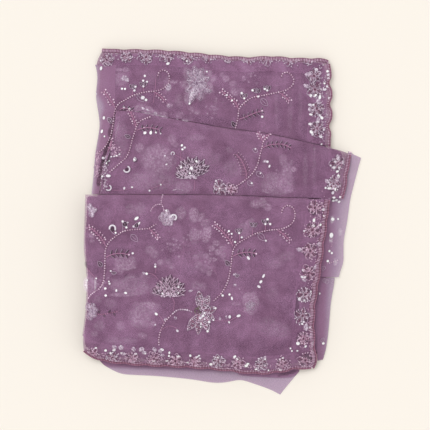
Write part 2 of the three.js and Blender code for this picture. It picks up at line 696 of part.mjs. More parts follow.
// ---------- assembly ----------
const saree = new THREE.Group();
function addPiece(name, geometry, material) {
  const mesh = new THREE.Mesh(geometry, material);
  mesh.name = name;
  saree.add(mesh);
}
function addBorder(name, band, skin, { runs, swell, outward }) {
  // runs: how (u, q) reads as shares across and along the band's own four edges
  const flat = (u, q) => {
    const { across, along } = runs(clamp(u), q);
    const { x, y } = crossing(band, atShare(across), atShare(along));
    return new THREE.Vector3(x, y, skin(x, y));
  };
  const cells = Math.round(flat(0, 0.5).distanceTo(flat(1, 0.5)) / FLOWER_PITCH);
  const surface = scalloped(flat, cells, swell, outward);
  addPiece(name + "_border", borderStrip({ surface, cells }), embroidery);
  addPiece(name + "_edging", edgingCord({ surface, cells }), beadedCord);
}
const toTheRight = new THREE.Vector3(1, 0, 0);
const toTheFront = new THREE.Vector3(0, -1, 0);
const toTheBack = new THREE.Vector3(0, 1, 0);
const downTheSide = (u, q) => ({ across: q, along: u });
const alongTheFront = (u, q) => ({ across: u, along: q });
const alongTheBack = (u, q) => ({ across: u, along: 1 - q });

// Plies inside the stacks
const insideColumns = [...nearLow(0, 4), ...evenStations(12, 11, 26), ...nearHigh(12, 0)];
const insideRows = [...nearLow(0, 5), ...evenStations(10, 12, 26), ...nearHigh(12, 0)];
const backPlies = stackOfPlies({
  outline: outlines.back,
  insets: { left: (y) => 5 + 11 * smooth((y - 20) / 30), right: 12, back: 8, front: 8 },
  skin: skinBack,
  under: () => TABLE,
  ridges: 3,
  tuck: 0.8,
  columns: insideColumns,
  rows: insideRows,
});
const middlePlies = stackOfPlies({
  outline: outlines.middle,
  insets: { left: () => 4.5, right: 14, back: 4.5, front: 12 },
  skin: skinMiddle,
  under: (x, y) => skinBack(x, y) - TOP_CLEARANCE - STACK_BITE,
  ridges: 2,
  tuck: UNDER_CURL,
  columns: insideColumns,
  rows: insideRows,
});
const frontPlies = stackOfPlies({
  outline: outlines.front,
  insets: { left: () => 4.5, right: 14, back: 4.5, front: 12 },
  skin: skinFront,
  under: (x, y) => underFront(x, y) - TOP_CLEARANCE - STACK_BITE,
  ridges: 3,
  tuck: UNDER_CURL,
  columns: insideColumns,
  rows: insideRows,
});
addPiece("hidden_layers", joined([backPlies, middlePlies, frontPlies]), net);

// Top plies
addPiece(
  "back_stretch",
  clothPanel({
    outline: backPanel,
    skin: skinBack,
    columns: evenStations(18),
    rows: evenStations(8),
    wall: CLOTH,
  }),
  net,
);
addPiece(
  "middle_stretch",
  clothPanel({
    outline: middlePanel,
    skin: skinMiddle,
    columns: foldedThenEven(17),
    rows: foldedThenEven(6),
    wall: CLOTH,
  }),
  net,
);
addPiece(
  "front_stretch",
  clothPanel({
    outline: frontPanel,
    skin: skinFront,
    columns: foldedThenEven(19),
    rows: foldedThenEven(13),
    wall: CLOTH,
  }),
  net,
);

// Borders and their edging
addBorder("front_side", frontSideBand, skinFront, { runs: downTheSide, swell: 1.2, outward: toTheRight });
addBorder("front_hem", frontHemBand, skinFront, { runs: alongTheFront, swell: 1.2, outward: toTheFront });
addBorder("middle_side", middleSideBand, skinMiddle, { runs: downTheSide, swell: 1.2, outward: toTheRight });
addBorder("back_side", backSideBand, skinBack, { runs: downTheSide, swell: 3, outward: toTheRight });
addBorder("back_hem", backHemBand, skinBack, { runs: alongTheBack, swell: 0.8, outward: toTheBack });

// Single plies that have slipped out of the stacks
addPiece(
  "left_loose_ply",
  clothPanel({
    outline: loosePlies.left,
    skin: (x, y) => Math.max(skinBack(x, y), LOOSE_PLY + 0.2),
    columns: evenStations(6),
    rows: evenStations(14),
    wall: LOOSE_PLY,
  }),
  looseNet,
);
addPiece(
  "right_loose_ply",
  clothPanel({
    outline: loosePlies.right,
    skin: skinSlipped,
    columns: evenStations(6),
    rows: evenStations(18),
    wall: LOOSE_PLY,
  }),
  looseNet,
);
addPiece(
  "near_right_loose_ply",
  clothPanel({
    outline: loosePlies.nearRight,
    skin: (x, y) => Math.max(skinBack(x, y), LOOSE_PLY + 0.2),
    columns: evenStations(5),
    rows: evenStations(10),
    wall: LOOSE_PLY,
  }),
  looseNet,
);
function nearPly(rows, lift) {
  // Its grid lines stand on the rows of its edge, so that the pulled corner stays sharp.
  const hem = brokenLine(rows);
  const from = rows[0].x;
  const to = rows[rows.length - 1].x;
  const columns = rows.map((row) => atShare((row.x - from) / (to - from)));
  return clothPanel({
    outline: { left: () => from, right: () => to, back: moved(backFront, -1.2), front: hem },
    skin: () => lift + LOOSE_PLY,
    columns,
    rows: evenStations(3),
    wall: LOOSE_PLY,
  });
}
addPiece("near_loose_ply", nearPly(slippedHem, TABLE), looseNet);
addPiece("near_folded_corner", nearPly(wedgeHem, TABLE + LOOSE_PLY + SEAM_GAP), net);

// Beaded motifs large enough to stand out of the cloth
const LILY = {
  petals: 8,
  heart: 2.2,
  rings: [
    { tip: 6, notch: 5, tipRise: 1.5, notchRise: 1.2 },
    { tip: 16, notch: 11, tipRise: 1.9, notchRise: 0.8 },
    { tip: 25, notch: 14, tipRise: 0.5, notchRise: 0.4 },
  ],
  reach: (angle) => 1 / Math.hypot(Math.cos(angle) / 0.82, Math.sin(angle)),
};
// A carnation seen from its side: wide and low, flat below.
const CARNATION = {
  petals: 9,
  heart: 2.2,
  rings: [
    { tip: 6, notch: 5, tipRise: 1.8, notchRise: 1.5 },
    { tip: 15, notch: 13, tipRise: 1.6, notchRise: 1.0 },
    { tip: 21, notch: 17, tipRise: 0.5, notchRise: 0.4 },
  ],
  reach: (angle) => Math.hypot(Math.cos(angle), Math.sin(angle) * (Math.sin(angle) > 0 ? 0.75 : 0.45)),
};
const motifs = [
  { name: "front_lily", skin: skinFront, centre: { x: -25, y: -109 }, turn: 8, ...LILY },
  { name: "front_carnation", skin: skinFront, centre: { x: -61, y: -80 }, turn: 12, ...CARNATION },
  { name: "middle_carnation", skin: skinMiddle, centre: { x: -36, y: 61 }, turn: 6, ...CARNATION },
];
for (const motif of motifs) addPiece(motif.name, motifPad(motif), embroidery);

// The origin is under the middle of the whole, on the table.
const box = new THREE.Box3().setFromObject(saree);
const middle = box.getCenter(new THREE.Vector3());
saree.position.set(-middle.x, -middle.y, -box.min.z);

console.assert(
  Math.abs(frontRight(0) - frontLeft(0) - STRIP_WIDTH) < 12,
  "the front stack should be as wide as the strip",
);

export default saree;
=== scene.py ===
# %% [markdown]
# # A folded net saree
# A saree is one long, sheer length of cloth. This one is net, worked all over with glass beads and
# sequins and edged with a scalloped border. It is folded into a strip and laid flat in three
# stepped stacks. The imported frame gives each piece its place, and this file dresses the pieces.

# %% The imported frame
import json
import math

import bmesh
import bpy
import numpy as np
from mathutils import Matrix, Vector, noise
from mathutils.bvhtree import BVHTree

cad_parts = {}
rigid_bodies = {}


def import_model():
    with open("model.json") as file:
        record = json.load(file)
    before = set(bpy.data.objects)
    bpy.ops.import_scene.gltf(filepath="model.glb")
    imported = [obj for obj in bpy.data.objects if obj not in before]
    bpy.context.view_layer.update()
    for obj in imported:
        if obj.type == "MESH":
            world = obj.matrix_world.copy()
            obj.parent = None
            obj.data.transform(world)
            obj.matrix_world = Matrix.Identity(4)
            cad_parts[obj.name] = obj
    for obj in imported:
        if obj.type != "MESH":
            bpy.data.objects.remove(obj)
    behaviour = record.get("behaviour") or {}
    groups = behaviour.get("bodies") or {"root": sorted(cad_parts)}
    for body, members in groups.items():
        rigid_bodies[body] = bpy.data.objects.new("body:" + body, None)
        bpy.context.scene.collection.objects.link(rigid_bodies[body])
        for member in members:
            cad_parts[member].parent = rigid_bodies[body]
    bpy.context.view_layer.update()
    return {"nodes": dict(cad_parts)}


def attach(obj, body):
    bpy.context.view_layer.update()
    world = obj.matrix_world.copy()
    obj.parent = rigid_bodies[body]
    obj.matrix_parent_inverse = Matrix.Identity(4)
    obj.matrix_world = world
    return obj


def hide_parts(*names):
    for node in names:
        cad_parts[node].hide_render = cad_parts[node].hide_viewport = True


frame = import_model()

# %% [markdown]
# ## Plan coordinates
# Embroidery is drawn like a chart on squared paper, seen from straight above. One square of this
# chart is 1.2 mm of cloth. Every motif below is written in squares, right and down from the
# chart's top left corner, and the helper turns squares into metres in the frame.

# %% From chart squares to the frame
SQUARE = 0.0012
CHART_MIDDLE = (221.75, 221.5)
FRAME_SHIFT = (-0.000286, 0.000293)
MM = 0.001


def plan(across, down):
    """The frame's x and y of a point on the chart."""
    return (
        (across - CHART_MIDDLE[0]) * SQUARE + FRAME_SHIFT[0],
        (CHART_MIDDLE[1] - down) * SQUARE + FRAME_SHIFT[1],
    )


print("chart square (215, 215) is at", [round(1000 * v, 1) for v in plan(215, 215)], "mm")

# %% [markdown]
# ## Shader maths
# A finish is a small sum: a base colour, a little wandering of tone, the holes of the net. Node
# trees hide such sums, so one class wraps a socket and lets plain Python expressions write them.

# %% Sockets that can be added and multiplied


class Signal:
    """An output socket of a shader tree that takes part in Python expressions."""

    def __init__(self, finish, socket):
        self.finish, self.socket = finish, socket

    def _sum(self, operation, first, second):
        return self.finish.node("Math", {"operation": operation}, {0: first, 1: second})

    def __add__(self, other):
        return self._sum("ADD", self, other)

    def __sub__(self, other):
        return self._sum("SUBTRACT", self, other)

    def __rsub__(self, other):
        return self._sum("SUBTRACT", other, self)

    def __mul__(self, other):
        return self._sum("MULTIPLY", self, other)

    def __lt__(self, other):
        return self._sum("LESS_THAN", self, other)

    __radd__, __rmul__ = __add__, __mul__


class Finish:
    """One material, built node by node."""

    def __init__(self, name):
        self.material = bpy.data.materials.new(name)
        self.material.use_nodes = True
        self.tree = self.material.node_tree
        self.tree.nodes.clear()

    def node(self, kind, settings=None, inputs=None, output=0):
        """Adds a node: its settings first, then the values or links of its inputs."""
        made = self.tree.nodes.new("ShaderNode" + kind)
        for name, value in (settings or {}).items():
            setattr(made, name, value)
        for name, value in (inputs or {}).items():
            if isinstance(value, Signal):
                self.tree.links.new(value.socket, made.inputs[name])
            else:
                made.inputs[name].default_value = value
        return Signal(self, made.outputs[output]) if made.outputs else None

    def place(self):
        return self.node("TexCoord", output="Object")

    def mix(self, first, second, share):
        """A colour between two colours."""
        return self.node("Mix", {"data_type": "RGBA"}, {0: share, 6: first, 7: second}, 2)

    def wander(self, size, detail=2.0):
        """Soft noise from 0 to 1 whose patches are about size metres wide."""
        return self.node("TexNoise", None, {"Vector": self.place(), "Scale": 1 / size, "Detail": detail}, 0)

    def shine(self, **inputs):
        """The surface, with Python names for the sockets' names."""
        named = {name.replace("_", " "): value for name, value in inputs.items()}
        surface = self.node("BsdfPrincipled", None, named)
        self.node("OutputMaterial", None, {"Surface": surface})
        return self.material


def colour(red, green, blue):
    return (red, green, blue, 1.0)


print("shader helpers ready")

# %% [markdown]
# ## Net
# Net is a mesh of fine twisted yarn round tiny holes, so about half of it is air. A single ply
# over a pale table looks pale and milky, and a pile of plies looks deep mauve, because each ply
# covers about half of what is left. So a ply is see-through here, and the pile under it is a
# darker, closed body. The yarn's honeycomb comes from Voronoi cells a little over a millimetre
# wide: the line between two cells is the yarn.

# %% Net finishes
YARN = colour(0.388, 0.179, 0.338)
# The next two colours are the darker and paler ends of the top net's tone: the plies' own mottle, and painted
# shade and light of soft folds.
YARN_DEEP_AND_SHADED = colour(0.222, 0.090, 0.184)
YARN_PALE_AND_LIT = colour(0.485, 0.270, 0.455)
YARN_ALONE = colour(0.435, 0.278, 0.472)
YARN_JOINED = colour(0.300, 0.142, 0.258)
PILE = colour(0.215, 0.105, 0.170)
PILE_DEEP = colour(0.105, 0.044, 0.088)
NET_CELL = 0.0011
YARN_SHARE = 0.13
LAYER_WAVES = 9500.0  # radians in a metre of height, so one line every 0.66 mm


def netting(finish):
    """1 on the yarn of the net and 0 in its holes."""
    inputs = {"Vector": finish.place(), "Scale": 1 / NET_CELL}
    edge = finish.node("TexVoronoi", {"feature": "DISTANCE_TO_EDGE"}, inputs)
    return edge < YARN_SHARE


def net_finish(name, cover):
    """The top ply of a pile of net. It covers that share of what is behind it. Its colour carries painted
    light and shade of soft folds.
    """
    finish = Finish(name)
    yarn = netting(finish)
    broad = finish.node("MapRange", None, {0: finish.wander(0.034, 3.0), 1: 0.34, 2: 0.68}, 0)
    # The finer noise paints light and shade of soft folds into the colour, in darker and paler bands; the
    # broader one is the plies' own mottle.
    fold_shading = finish.node("MapRange", None, {0: finish.wander(0.011, 2.0), 1: 0.30, 2: 0.72}, 0)
    deep = finish.mix(YARN_DEEP_AND_SHADED, YARN, broad * 0.62 + fold_shading * 0.38 + 0.12)
    tone = finish.mix(deep, YARN_PALE_AND_LIT, fold_shading * broad * 0.42)
    bump = finish.node("Bump", None, {"Strength": 0.25, "Distance": 0.0002, "Height": yarn})
    return finish.shine(
        Base_Color=tone, Roughness=0.72, Alpha=yarn * 0.26 + (cover - 0.12), Normal=bump,
        Sheen_Weight=0.25, Sheen_Roughness=0.5, Sheen_Tint=colour(0.9, 0.8, 0.9),
    )


def loose_finish(name):
    """Net that has slipped out of the pile: one ply at its edge, and more of them further in.

    The attribute cover is the share that the plies cover. A single ply looks grey and cool."""
    finish = Finish(name)
    yarn = netting(finish)
    cover = finish.node("Attribute", {"attribute_name": "cover"}, output="Fac")
    plies = finish.node("MapRange", None, {0: cover, 1: 0.55, 2: 0.90}, 0)
    tone = finish.mix(YARN_ALONE, YARN_JOINED, plies + finish.wander(0.02) * 0.3 - 0.15)
    bump = finish.node("Bump", None, {"Strength": 0.25, "Distance": 0.0002, "Height": yarn})
    return finish.shine(
        Base_Color=tone, Roughness=0.72, Alpha=yarn * 0.20 + (cover - 0.10), Normal=bump,
        Sheen_Weight=0.25, Sheen_Roughness=0.5, Sheen_Tint=colour(0.9, 0.85, 0.95),
    )


def pile_finish(name):
    """Many plies pressed together: closed, darker, with the plies' own edges as fine lines."""
    finish = Finish(name)
    height = finish.node("SeparateXYZ", None, {0: finish.place()}, 2)
    height = height + finish.wander(0.03) * 0.0012
    layers = finish.node("Math", {"operation": "SINE"}, {0: height * LAYER_WAVES})
    mottle = finish.node("MapRange", None, {0: finish.wander(0.022, 3.0), 1: 0.36, 2: 0.66}, 0)
    tone = finish.mix(PILE_DEEP, PILE, mottle * 0.95 + layers * 0.10 + 0.1)
    bump = finish.node("Bump", None, {"Strength": 0.6, "Distance": 0.0005, "Height": layers})
    return finish.shine(
        Base_Color=tone, Roughness=0.85, Normal=bump,
        Sheen_Weight=0.2, Sheen_Roughness=0.5, Sheen_Tint=colour(0.9, 0.8, 0.9),
    )


TOP_NET = net_finish("top net", 0.56)
LOOSE_NET = loose_finish("loose net")
BORDER_NET = net_finish("border net", 0.66)
PILED_NET = pile_finish("piled net")
print("net finishes:", TOP_NET.name, LOOSE_NET.name, BORDER_NET.name, PILED_NET.name)

# %% [markdown]
# ## Plies of cloth
# The frame has each visible ply as a thin wall. Real net has no such wall, so a ply is made from
# the wall's outward skin alone: starting at one face, every face is taken that is reached without
# turning a sharp corner, and the rim and the inside stay behind. The loose triangles become quads,
# a subdivision surface rounds them, and slow noise lays the small waves that a hand leaves when
# it smooths a pile of cloth.

# %% Lifting the skin off a wall
SHARP = math.radians(55)
TRUE_CORNER = math.radians(128)
WELD = 0.02 * MM
CLOTH_WALL = 1.2 * MM
TUCK_DROP = 0.5 * MM
BROAD_WAVE, FINE_WAVE = 0.045, 0.017


def wall_mesh(node):
    made = bmesh.new()
    made.from_mesh(frame["nodes"][node].data)
    bmesh.ops.remove_doubles(made, verts=made.verts, dist=WELD)
    made.normal_update()
    return made


def skin_of(node, upper=True):
    """The outward or, with upper=False, the hidden skin of a CAD wall, facing up."""
    made = wall_mesh(node)
    way = 1 if upper else -1
    middle = sum((f.calc_center_median() for f in made.faces), Vector()) / len(made.faces)
    facing = [f for f in made.faces if f.normal.z * way > 0.6]
    first = min(facing, key=lambda f: (f.calc_center_median() - middle).length)
    taken, open_faces = {first}, [first]
    while open_faces:
        face = open_faces.pop()
        for edge in face.edges:
            for other in edge.link_faces:
                if other not in taken and face.normal.angle(other.normal) < SHARP:
                    taken.add(other)
                    open_faces.append(other)
    left = [f for f in made.faces if f not in taken]
    bmesh.ops.delete(made, geom=left, context="FACES")
    if not upper:
        bmesh.ops.reverse_faces(made, faces=made.faces)
        made.normal_update()
        for v in made.verts:
            v.co += v.normal * CLOTH_WALL
    bmesh.ops.join_triangles(
        made, faces=made.faces, angle_face_threshold=math.radians(60), angle_shape_threshold=math.radians(70),
    )
    return made


def outward_at(made):
    """For each point of a ply's rim, the direction that leads off the ply."""
    away = {}
    for edge in made.edges:
        if edge.is_boundary:
            run = (edge.verts[1].co - edge.verts[0].co).normalized()
            off = (edge.verts[0].co + edge.verts[1].co) / 2 - edge.link_faces[0].calc_center_median()
            off -= run * off.dot(run)
            for v in edge.verts:
                away[v] = away.get(v, Vector()) + off.normalized()
    return away


def tuck(made, nodes, reach, near, towards):
    """Runs the rim of a ply on under the pieces that lie against it, as the seams do. With towards
    given, only the part of the rim that faces that way runs on, and straight that way."""
    for node in nodes:
        over = wall_mesh(node)
        tree = BVHTree.FromBMesh(over)
        over.free()
        away = outward_at(made)
        rim = [
            e for e in made.edges
            if e.is_boundary and all(tree.find_nearest(v.co)[3] < near * MM for v in e.verts)
        ]
        if towards:
            rim = [
                e for e in rim if sum((away[v].normalized() for v in e.verts), Vector()).dot(towards) > 0.9
            ]
        grown = bmesh.ops.extrude_edge_only(made, edges=rim)["geom"]
        added = {v for v in grown if isinstance(v, bmesh.types.BMVert)}
        for v in added:
            root = next(e.other_vert(v) for e in v.link_edges if e.other_vert(v) not in added)
            if root in away:
                v.co = root.co + (towards or away[root].normalized()) * reach * MM - Vector((0, 0, TUCK_DROP))
        bmesh.ops.recalc_face_normals(made, faces=made.faces)
        made.normal_update()
        if sum(f.normal.z for f in made.faces) < 0:
            bmesh.ops.reverse_faces(made, faces=made.faces)


def keep_corners(made):
    """Marks the true corners of a ply's rim, so that rounding leaves them sharp."""
    crease_and_highlight = made.verts.layers.float.new("crease_vert")
    for v in made.verts:
        rim = [e for e in v.link_edges if e.is_boundary]
        if len(rim) == 2:
            first, second = ((e.other_vert(v).co - v.co).normalized() for e in rim)
            if first.angle(second) < TRUE_CORNER:
                v[crease_and_highlight] = 1.0


def read_vectors(items, name):
    """All of a mesh's points or normals at once."""
    values = np.zeros(len(items) * 3, np.float32)
    items.foreach_get(name, values)
    return values.reshape(-1, 3)


def settled(made, name, finish, levels, waves):
    """A finished ply: rounded, with slow waves, as an object in the frame."""
    rough = bpy.data.objects.new("rough", bpy.data.meshes.new("rough"))
    keep_corners(made)
    made.to_mesh(rough.data)
    made.free()
    bpy.context.collection.objects.link(rough)
    rounding = rough.modifiers.new("rounding", "SUBSURF")
    rounding.levels = rounding.render_levels = levels
    rounding.boundary_smooth = "PRESERVE_CORNERS"
    depsgraph = bpy.context.evaluated_depsgraph_get()
    mesh = bpy.data.meshes.new_from_object(rough.evaluated_get(depsgraph))
    bpy.data.objects.remove(rough)
    mesh.name = name
    places, normals = read_vectors(mesh.vertices, "co"), read_vectors(mesh.vertex_normals, "vector")
    for place, normal in zip(places, normals):
        broad = noise.noise(Vector((place[0], place[1] * 1.6, 0.3 * BROAD_WAVE)) / BROAD_WAVE)
        fine = noise.noise(Vector((place[0] * 1.3, place[1], 1.7 * FINE_WAVE)) / FINE_WAVE)
        place += normal * (broad * 0.7 + fine * 0.3) * waves
    mesh.vertices.foreach_set("co", places.ravel())
    mesh.update()
    mesh.polygons.foreach_set("use_smooth", [True] * len(mesh.polygons))
    mesh.materials.append(finish)
    ply = bpy.data.objects.new(name, mesh)
    bpy.context.collection.objects.link(ply)
    return ply


def area_of(piece):
    return sum(p.area for p in piece.data.polygons)


print("skins are lifted at corners sharper than", round(math.degrees(SHARP)), "degrees")

# %% [markdown]
# ## The top plies and the border strips
# The top ply of a stack runs from its folds to the border's seam. The border is the same net with
# heavier work on it, so it is a strip of its own, and it takes the hidden skin of its CAD node,
# which is plain where the outward one has raised flowers. The single plies that have slipped out
# of the stacks are made the same way.

# %% Top plies, border strips and loose plies
SIDE, HEM, LOOSE_LEFT = "front_side_border", "front_hem_border", "left_loose_ply"
MIDDLE_SIDE, BACK_SIDE, BACK_HEM = "middle_side_border", "back_side_border", "back_hem_border"
NET_OF = {"plied_net": TOP_NET, "border_net": BORDER_NET, "loose_net": LOOSE_NET}
PLIES = [  # piece, CAD node, slot, waves in millimetres, cut in metres, runs on under
    ("front_ply", "front_stretch", "plied_net", 0.5, (0.268, 0.198), (SIDE, HEM)),
    ("middle_ply", "middle_stretch", "plied_net", 0.5, (0.260, 0.092), (MIDDLE_SIDE,)),
    ("back_ply", "back_stretch", "plied_net", 0.4, (0.231, 0.069), (BACK_SIDE, BACK_HEM, LOOSE_LEFT)),
    ("front_side_strip", SIDE, "border_net", 0.2, (0.026, 0.199), ()),
    ("front_hem_strip", HEM, "border_net", 0.2, (0.272, 0.026), (SIDE,)),
    ("middle_side_strip", MIDDLE_SIDE, "border_net", 0.2, (0.026, 0.058), (SIDE,)),
    ("back_side_strip", BACK_SIDE, "border_net", 0.1, (0.026, 0.096), (BACK_HEM,)),
    ("back_hem_strip", BACK_HEM, "border_net", 0.1, (0.275, 0.016), (BACK_SIDE,)),
    ("left_loose", LOOSE_LEFT, "loose_net", 0.3, (0.020, 0.154), (BACK_HEM,)),
    ("right_loose", "right_loose_ply", "loose_net", 0.3, (0.019, 0.147), (SIDE, MIDDLE_SIDE)),
    ("near_right_loose", "near_right_loose_ply", "loose_net", 0.3, (0.017, 0.1), (SIDE,)),
    ("near_loose", "near_loose_ply", "loose_net", 0.15, (0.239, 0.017), ()),
    ("near_corner", "near_folded_corner", "loose_net", 0.1, (0.072, 0.011), ()),
]
INWARD_LEFT = Vector((-0.8, 0.6, 0))
WAYS = {  # plies whose rim runs on one way only, how far in millimetres and from how far off
    "right_loose": (INWARD_LEFT, 6.0, 14.0), "near_right_loose": (INWARD_LEFT, 6.0, 14.0),
    "middle_side_strip": (Vector((0, -1, 0)), 5.0, 20.0),
}
ANY_WAY = (None, 3.0, 2.6)
plies = {}
for name, node, slot, waves, cut, under in PLIES:
    made = skin_of(node, upper=slot != "border_net")
    way, reach, near = WAYS.get(name, ANY_WAY)
    tuck(made, under, reach, near, way)
    ply = settled(made, name, NET_OF[slot], 2, waves * MM)
    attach(ply, "root")
    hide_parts(node)
    plies[name] = ply
    print(name, "area (cm2)", round(area_of(ply) * 1e4, 1), "cut", round(cut[0] * cut[1] * 1e4, 1))

# %% [markdown]
# ## How many plies lie loose
# Where cloth has slipped out of a stack, it is a single ply at its edge, and other plies join it
# nearer the stack. The finish of the loose net reads the share that they cover from an attribute.
# It grows from the edge inwards over the width that the other plies' own edges take up.

# %% The share that the loose plies cover
ONE_PLY, MANY_PLIES = 0.58, 0.90


def squares_of(piece):
    """A piece's points as chart squares, across and down."""
    places = read_vectors(piece.data.vertices, "co")
    across = (places[:, 0] - FRAME_SHIFT[0]) / SQUARE + CHART_MIDDLE[0]
    return across, CHART_MIDDLE[1] - (places[:, 1] - FRAME_SHIFT[1]) / SQUARE


RIM_DOWN = [66, 80, 93, 108, 122, 135, 150, 165, 180, 194]
RIM_ACROSS = [97, 97.5, 95.7, 98, 99.6, 98, 96, 94.3, 93.8, 91.5]


def from_left_rim(across, down):
    """How far in from the left rim, wider around one place where the single ply shows."""
    single = 0.65 * np.exp(-(((down - 106) / 9) ** 2))
    return 0.30 - single + (across - np.interp(down, RIM_DOWN, RIM_ACROSS)) / 6.5


INWARDS = {  # piece: how far in from the single edge, from 0 to 1, at a point of the chart
    "left_loose": from_left_rim,
    "right_loose": lambda across, down: 0.30 + (340.0 - (down - 200) * 0.06 - across) / 17.0,
    "near_right_loose": lambda across, down: 0.40 + (329.0 - (down - 280) * 0.03 - across) / 10.0,
    "near_loose": lambda across, down: (365.0 + 0.038 * (across - 100) + 4.0 - down) / 4.5,
    "near_corner": lambda across, down: 0.9 + 0 * across,
}
for name, inwards in INWARDS.items():
    ply = plies[name]
    share = np.clip(inwards(*squares_of(ply)), 0, 1)
    cover = ONE_PLY + (MANY_PLIES - ONE_PLY) * share * share * (3 - 2 * share)
    ply.data.attributes.new("cover", "FLOAT", "POINT").data.foreach_set("value", cover.astype(np.float32))
    print(name, "covers", round(float(cover.min()), 2), "to", round(float(cover.max()), 2))

# %% [markdown]
# ## The pile below
# All the plies below the top one are pressed into one body with stepped, rounded edges. Nobody
# sees between them, so the body is closed. It takes the finish of the pile, with fine lines at
# its edges where the real plies lie one on the next.

# %% The piled layers
layers = wall_mesh("hidden_layers")
pile = settled(layers, "piled_layers", PILED_NET, 1, 0.1 * MM)
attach(pile, "root")
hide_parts("hidden_layers")
print("the pile is", round(max(v.co.z for v in pile.data.vertices) * 1000, 1), "mm high")

# %% [markdown]
# ## Beads, sequins and thread
# A worked saree carries many thousands of small things, but only a few kinds: glass seed beads,
# cupped sequins, clear petal sequins and satin leaves. Each kind is made once with an operator,
# as a template one unit wide, and then repeated as one joined mesh. Copies as separate objects
# would be thousands of objects, and instances would be lost when the model is exported.

# %% Templates


def template(build, soft=False):
    """A small shape made by build: its points, its triangles, and the share of its tone that each
    point takes. A soft one fades out towards its rim."""
    made = bmesh.new()
    build(made)
    bmesh.ops.recalc_face_normals(made, faces=made.faces)
    bmesh.ops.triangulate(made, faces=made.faces)
    made.verts.index_update()
    points = np.array([v.co for v in made.verts], float)
    corners = np.array([[v.index for v in f.verts] for f in made.faces], int)
    made.free()
    fade = np.clip(2.9 - 5.8 * np.linalg.norm(points[:, :2], axis=1), 0, 1) if soft else np.ones(len(points))
    return points, corners, fade


def seed_bead(made):
    bmesh.ops.create_uvsphere(made, u_segments=8, v_segments=5, radius=0.5)
    bmesh.ops.scale(made, vec=(1, 1, 0.8), verts=made.verts)


def fine_bead(made):
    bmesh.ops.create_uvsphere(made, u_segments=6, v_segments=4, radius=0.5)
    bmesh.ops.scale(made, vec=(1, 1, 0.8), verts=made.verts)


def sequin_cup(made):
    bmesh.ops.create_circle(made, cap_ends=True, segments=12, radius=0.5)
    disc = list(made.faces)
    bmesh.ops.inset_individual(made, faces=disc, thickness=0.20, depth=-0.07)
    bmesh.ops.inset_individual(made, faces=disc, thickness=0.18, depth=-0.02)
    bmesh.ops.solidify(made, geom=made.faces, thickness=0.03)


def petal_film(made):
    """A pointed petal one unit long, from its root at the origin along +X, its middle raised."""
    bmesh.ops.create_circle(made, cap_ends=True, segments=14, radius=0.5)
    bmesh.ops.inset_individual(made, faces=list(made.faces), thickness=0.17, depth=0)
    for v in made.verts:
        v.co.z = 0.07 * (1 - 4 * v.co.xy.length_squared)
        along = v.co.x + 0.5
        v.co.y *= 0.62 + 0.75 * math.sin(math.pi * min(max(along, 0), 1)) * 0.5
        v.co.x = along
    bmesh.ops.solidify(made, geom=made.faces, thickness=0.03)


def blurred_patch(made):
    """A flat disc whose tone fades out to its rim."""
    bmesh.ops.create_circle(made, cap_ends=True, segments=16, radius=0.5)
    disc = list(made.faces)
    for _ in range(3):
        bmesh.ops.inset_individual(made, faces=disc, thickness=0.12, depth=0)


TEMPLATES = {
    "bead": template(seed_bead), "fine": template(fine_bead), "sequin": template(sequin_cup),
    "petal": template(petal_film), "patch": template(blurred_patch, soft=True),
}
for kind, (points, corners, _) in TEMPLATES.items():
    print(kind, len(corners), "triangles, span", np.round(np.ptp(points, axis=0), 2))

# %% [markdown]
# ## Finishes of the work
# Glass beads are a clear colour with a sharp highlight, so their finish has a coat. No two beads
# of a string have quite the same colour. Each copy carries its own tone as an attribute on its
# points, and the finish mixes two colours by it. Sequins are film with a metal or pearl backing:
# their white flash is a painted highlight, a near-white colour in their finish, and the clear ones
# show only as a pale shape.

# %% Bead, sequin and thread finishes


def toned(name, dark, light, **settings):
    """A finish between two colours by each copy's own tone."""
    finish = Finish(name)
    tone = finish.node("Attribute", {"attribute_name": "tone"}, output="Fac")
    grain = finish.wander(0.0009, 1.0) * 0.3 - 0.15
    return finish.shine(Base_Color=finish.mix(colour(*dark), colour(*light), tone + grain), **settings)


def crinkled(name, dark, light):
    """Clear petal film: thin and creased, with painted highlights: its colour is paler where the crease noise
    is high, as where a crease would catch the light.
    """
    finish = Finish(name)
    tone = finish.node("Attribute", {"attribute_name": "tone"}, output="Fac")
    crease_and_highlight = finish.node("MapRange", None, {0: finish.wander(0.0021, 2.0), 1: 0.33, 2: 0.66}, 0)
    shade = finish.mix(colour(*dark), colour(*light), crease_and_highlight * 0.8 + tone * 0.5 - 0.15)
    cover = (crease_and_highlight * 0.4 + 0.25) * (tone * 0.7 + 0.5)
    return finish.shine(Base_Color=shade, Roughness=0.30, Coat_Weight=0.6, Alpha=cover)


def blurred(name, dark, light):
    """A soft patch of colour. With pale colours it is work on a ply further down that shows through the net
    above, or a painted glow; with dark ones it is painted shade.
    """
    finish = Finish(name)
    tone = finish.node("Attribute", {"attribute_name": "tone"}, output="Fac")
    grain = finish.node("MapRange", None, {0: finish.wander(0.0024, 1.0), 1: 0.3, 2: 0.7}, 0)
    shade = finish.mix(colour(*dark), colour(*light), grain)
    return finish.shine(Base_Color=shade, Roughness=0.7, Alpha=tone * (grain * 0.5 + 0.8))


